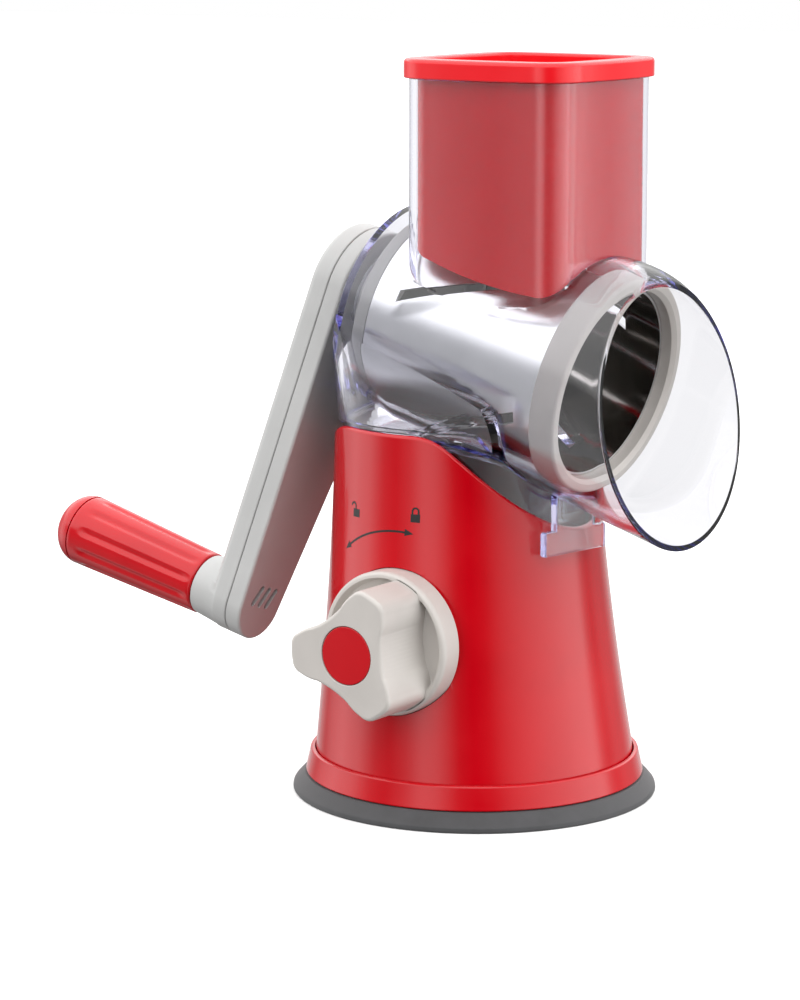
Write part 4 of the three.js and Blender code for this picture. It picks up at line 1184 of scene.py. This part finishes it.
add_piece(clear_moulding(), "clear_moulding", CLEAR, "housing", ["clear_housing"])
add_piece(food_pusher(), "food_pusher", BRIGHT_RED, "pusher", ["pusher"])

add_piece(drum_sheet(), "drum_sheet", None, "drum", ["drum_shell"])
add_piece(drum_rim(), "drum_rim", WARM_GREY, "drum", ["drum_front_ring"])
add_piece(drum_hub(), "drum_hub", GREY, "drum", ["drum_rear_hub"])

add_piece(crank_front(), "crank_front", GREY, "crank", ["crank_front_shell"])
add_piece(crank_back(), "crank_back", GREY, "crank", ["crank_back_shell"])
for number, share in enumerate(SCREW_SHARES, 1):
    cad_screw = f"crank_screw_{number}"
    add_piece(cross_screw(share), f"arm_screw_{number}", ZINC, "crank", [cad_screw])

add_piece(fluted_grip(), "fluted_grip", RED, "grip", ["grip_sleeve"])
add_piece(grip_cap(), "grip_cap", RED, "grip", ["grip_end_cap"])

KEPT = {
    "floor_plate": DARK,
    "lift_yoke": DARK,
    "cam_shaft": DARK,
    "snap_catch": GREY,
    "floor_screw_1": ZINC,
    "floor_screw_2": ZINC,
    "floor_screw_3": ZINC,
    "return_spring": ZINC,
    "lift_plate": ZINC,
    "shaft_clip": ZINC,
    "knob_screw": ZINC,
    "grip_spindle": ZINC,
    "grip_washer": ZINC,
    "grip_screw": ZINC,
}
for name, finish in KEPT.items():
    for slot in frame["nodes"][name].material_slots:
        slot.material = finish

# ---- stage, light and camera --------------------------------------------------------------------


def pale_floor():
    half = 6e3
    corners = [(-half, -half, 0), (half, -half, 0), (half, half, 0), (-half, half, 0)]
    floor = new_object("pale_floor", corners, [(0, 1, 2, 3)])
    # Matt studio paper: even and pale, with no gloss to mirror the object.
    material, shader = new_material("pale_paper")
    mottled(shader, "#F4F4F4", "#F8F8F8", 300)
    shader.inputs["Roughness"].default_value = 0.9
    shader.inputs["Specular IOR Level"].default_value = 0.1
    floor.data.materials.append(material)
    # Only the camera sees it: it doesn't light the object, and doesn't show in it or through it.
    floor.visible_glossy = False
    floor.visible_diffuse = False
    floor.visible_transmission = False


CAMERA_PLACE = Vector((-967.8, -645.1, 314.1)) * MM
CAMERA_LOOK = Vector((0.8061, 0.5644, -0.1779))


def studio_light():
    """A white tent whose walls hold tall softboxes, as the world's own light."""
    world = bpy.data.worlds.new("studio")
    bpy.context.scene.world = world
    world.use_nodes = True
    back = world.node_tree.nodes["Background"]
    tree = world.node_tree
    way = node(back, "ShaderNodeTexCoord").outputs["Generated"]
    # The studio is turned so that its own front, at angle 0, faces the camera's side.
    facing = math.atan2(-CAMERA_LOOK.y, -CAMERA_LOOK.x)
    turned_way = node(back, "ShaderNodeVectorRotate", {"rotation_type": "Z_AXIS"}, Vector=way)
    turned_way.inputs["Angle"].default_value = -facing
    parts = node(back, "ShaderNodeSeparateXYZ", Vector=turned_way.outputs["Vector"])
    around = node(back, "ShaderNodeMath", {"operation": "ARCTAN2"})
    tree.links.new(parts.outputs["Y"], around.inputs[0])
    tree.links.new(parts.outputs["X"], around.inputs[1])
    # Brightness round the horizon: 0 is the camera's side, 90 its right and 180 behind the object.
    share = node(back, "ShaderNodeMapRange", Value=around.outputs[0])
    share.inputs["From Min"].default_value = -math.pi
    share.inputs["From Max"].default_value = math.pi
    ring = node(back, "ShaderNodeValToRGB", Fac=share.outputs["Result"])
    stops = [
        (-180, 1.0), (-156, 0.7), (-140, 0.35), (-124, 1.1), (-112, 1.8), (-93, 1.8), (-77, 0.5),
        (-64, 0.22), (-50, 0.7), (-38, 1.8), (-28, 1.6), (-12, 0.15), (0, 0.0), (12, 0.12),
        (26, 0.8), (39, 1.35), (52, 1.85), (66, 2.3), (81, 2.7), (97, 2.6), (105, 0.9),
        (112, 0.45), (122, 0.6), (138, 0.4), (156, 0.8), (180, 1.0),
    ]
    ramp = ring.color_ramp
    brightest = max(level for _, level in stops)
    while len(ramp.elements) < len(stops):
        ramp.elements.new(0.5)
    for element, (angle, level) in zip(ramp.elements, stops):
        element.position = (angle + 180) / 360
        element.color = (level / brightest,) * 3 + (1,)
    # The tent's roof is even and bright.
    roof = node(back, "ShaderNodeMapRange", Value=parts.outputs["Z"])
    roof.inputs["From Min"].default_value = 0.2
    roof.inputs["From Max"].default_value = 0.34
    level = node(back, "ShaderNodeMix", {"data_type": "RGBA"}, Factor=roof.outputs["Result"])
    tree.links.new(ring.outputs["Color"], level.inputs["A"])
    roof_level = 2.1
    level.inputs["B"].default_value = (roof_level / brightest,) * 3 + (1,)
    # Below the table's edge the tent is dimmer.
    under = node(back, "ShaderNodeMapRange", Value=parts.outputs["Z"])
    under.inputs["From Min"].default_value = -0.5
    under.inputs["From Max"].default_value = -0.22
    under.inputs["To Min"].default_value = 0.45
    shaded = node(back, "ShaderNodeVectorMath", {"operation": "SCALE"})
    tree.links.new(level.outputs["Result"], shaded.inputs[0])
    tree.links.new(under.outputs["Result"], shaded.inputs["Scale"])
    tree.links.new(shaded.outputs["Vector"], back.inputs["Color"])
    back.inputs["Strength"].default_value = brightest
    # What the camera sees of the tent, straight or through the clear parts, is plain white.
    plain = node(back, "ShaderNodeBackground", Color=(1, 1, 1, 1), Strength=1.0)
    path = node(back, "ShaderNodeLightPath")
    direct = node(back, "ShaderNodeMath", {"operation": "MAXIMUM"})
    tree.links.new(path.outputs["Is Camera Ray"], direct.inputs[0])
    tree.links.new(path.outputs["Is Transmission Ray"], direct.inputs[1])
    # A reflection met after no more than three clear surfaces still sees it, and a later one doesn't.
    most_surfaces = 3.5
    beyond = node(back, "ShaderNodeMath", {"operation": "GREATER_THAN"})
    tree.links.new(path.outputs["Transmission Depth"], beyond.inputs[0])
    beyond.inputs[1].default_value = most_surfaces
    bounced = node(back, "ShaderNodeMath", {"operation": "MULTIPLY_ADD"})
    tree.links.new(path.outputs["Glossy Depth"], bounced.inputs[0])
    tree.links.new(beyond.outputs[0], bounced.inputs[1])
    tree.links.new(path.outputs["Diffuse Depth"], bounced.inputs[2])
    seen = node(back, "ShaderNodeMath", {"operation": "SUBTRACT", "use_clamp": True})
    tree.links.new(direct.outputs[0], seen.inputs[0])
    tree.links.new(bounced.outputs[0], seen.inputs[1])
    mix = node(back, "ShaderNodeMixShader", Fac=seen.outputs[0])
    tree.links.new(back.outputs["Background"], mix.inputs[1])
    tree.links.new(plain.outputs["Background"], mix.inputs[2])
    tree.links.new(mix.outputs["Shader"], tree.nodes["World Output"].inputs["Surface"])


def camera():
    lens = bpy.data.cameras.new("camera")
    lens.sensor_fit = "VERTICAL"
    lens.sensor_height = 36
    lens.lens = 120.25
    lens.clip_end = 30
    seat = bpy.data.objects.new("camera", lens)
    seat.location = CAMERA_PLACE
    seat.rotation_euler = CAMERA_LOOK.to_track_quat("-Z", "Y").to_euler()
    bpy.context.scene.collection.objects.link(seat)
    bpy.context.scene.camera = seat


pale_floor()
studio_light()
camera()
bpy.context.scene.view_settings.view_transform = "Standard"
# Light runs a long way inside the clear walls before it comes out.
bpy.context.scene.cycles.max_bounces = 24
bpy.context.scene.cycles.glossy_bounces = 20
bpy.context.scene.cycles.transmission_bounces = 24

bpy.context.view_layer.update()
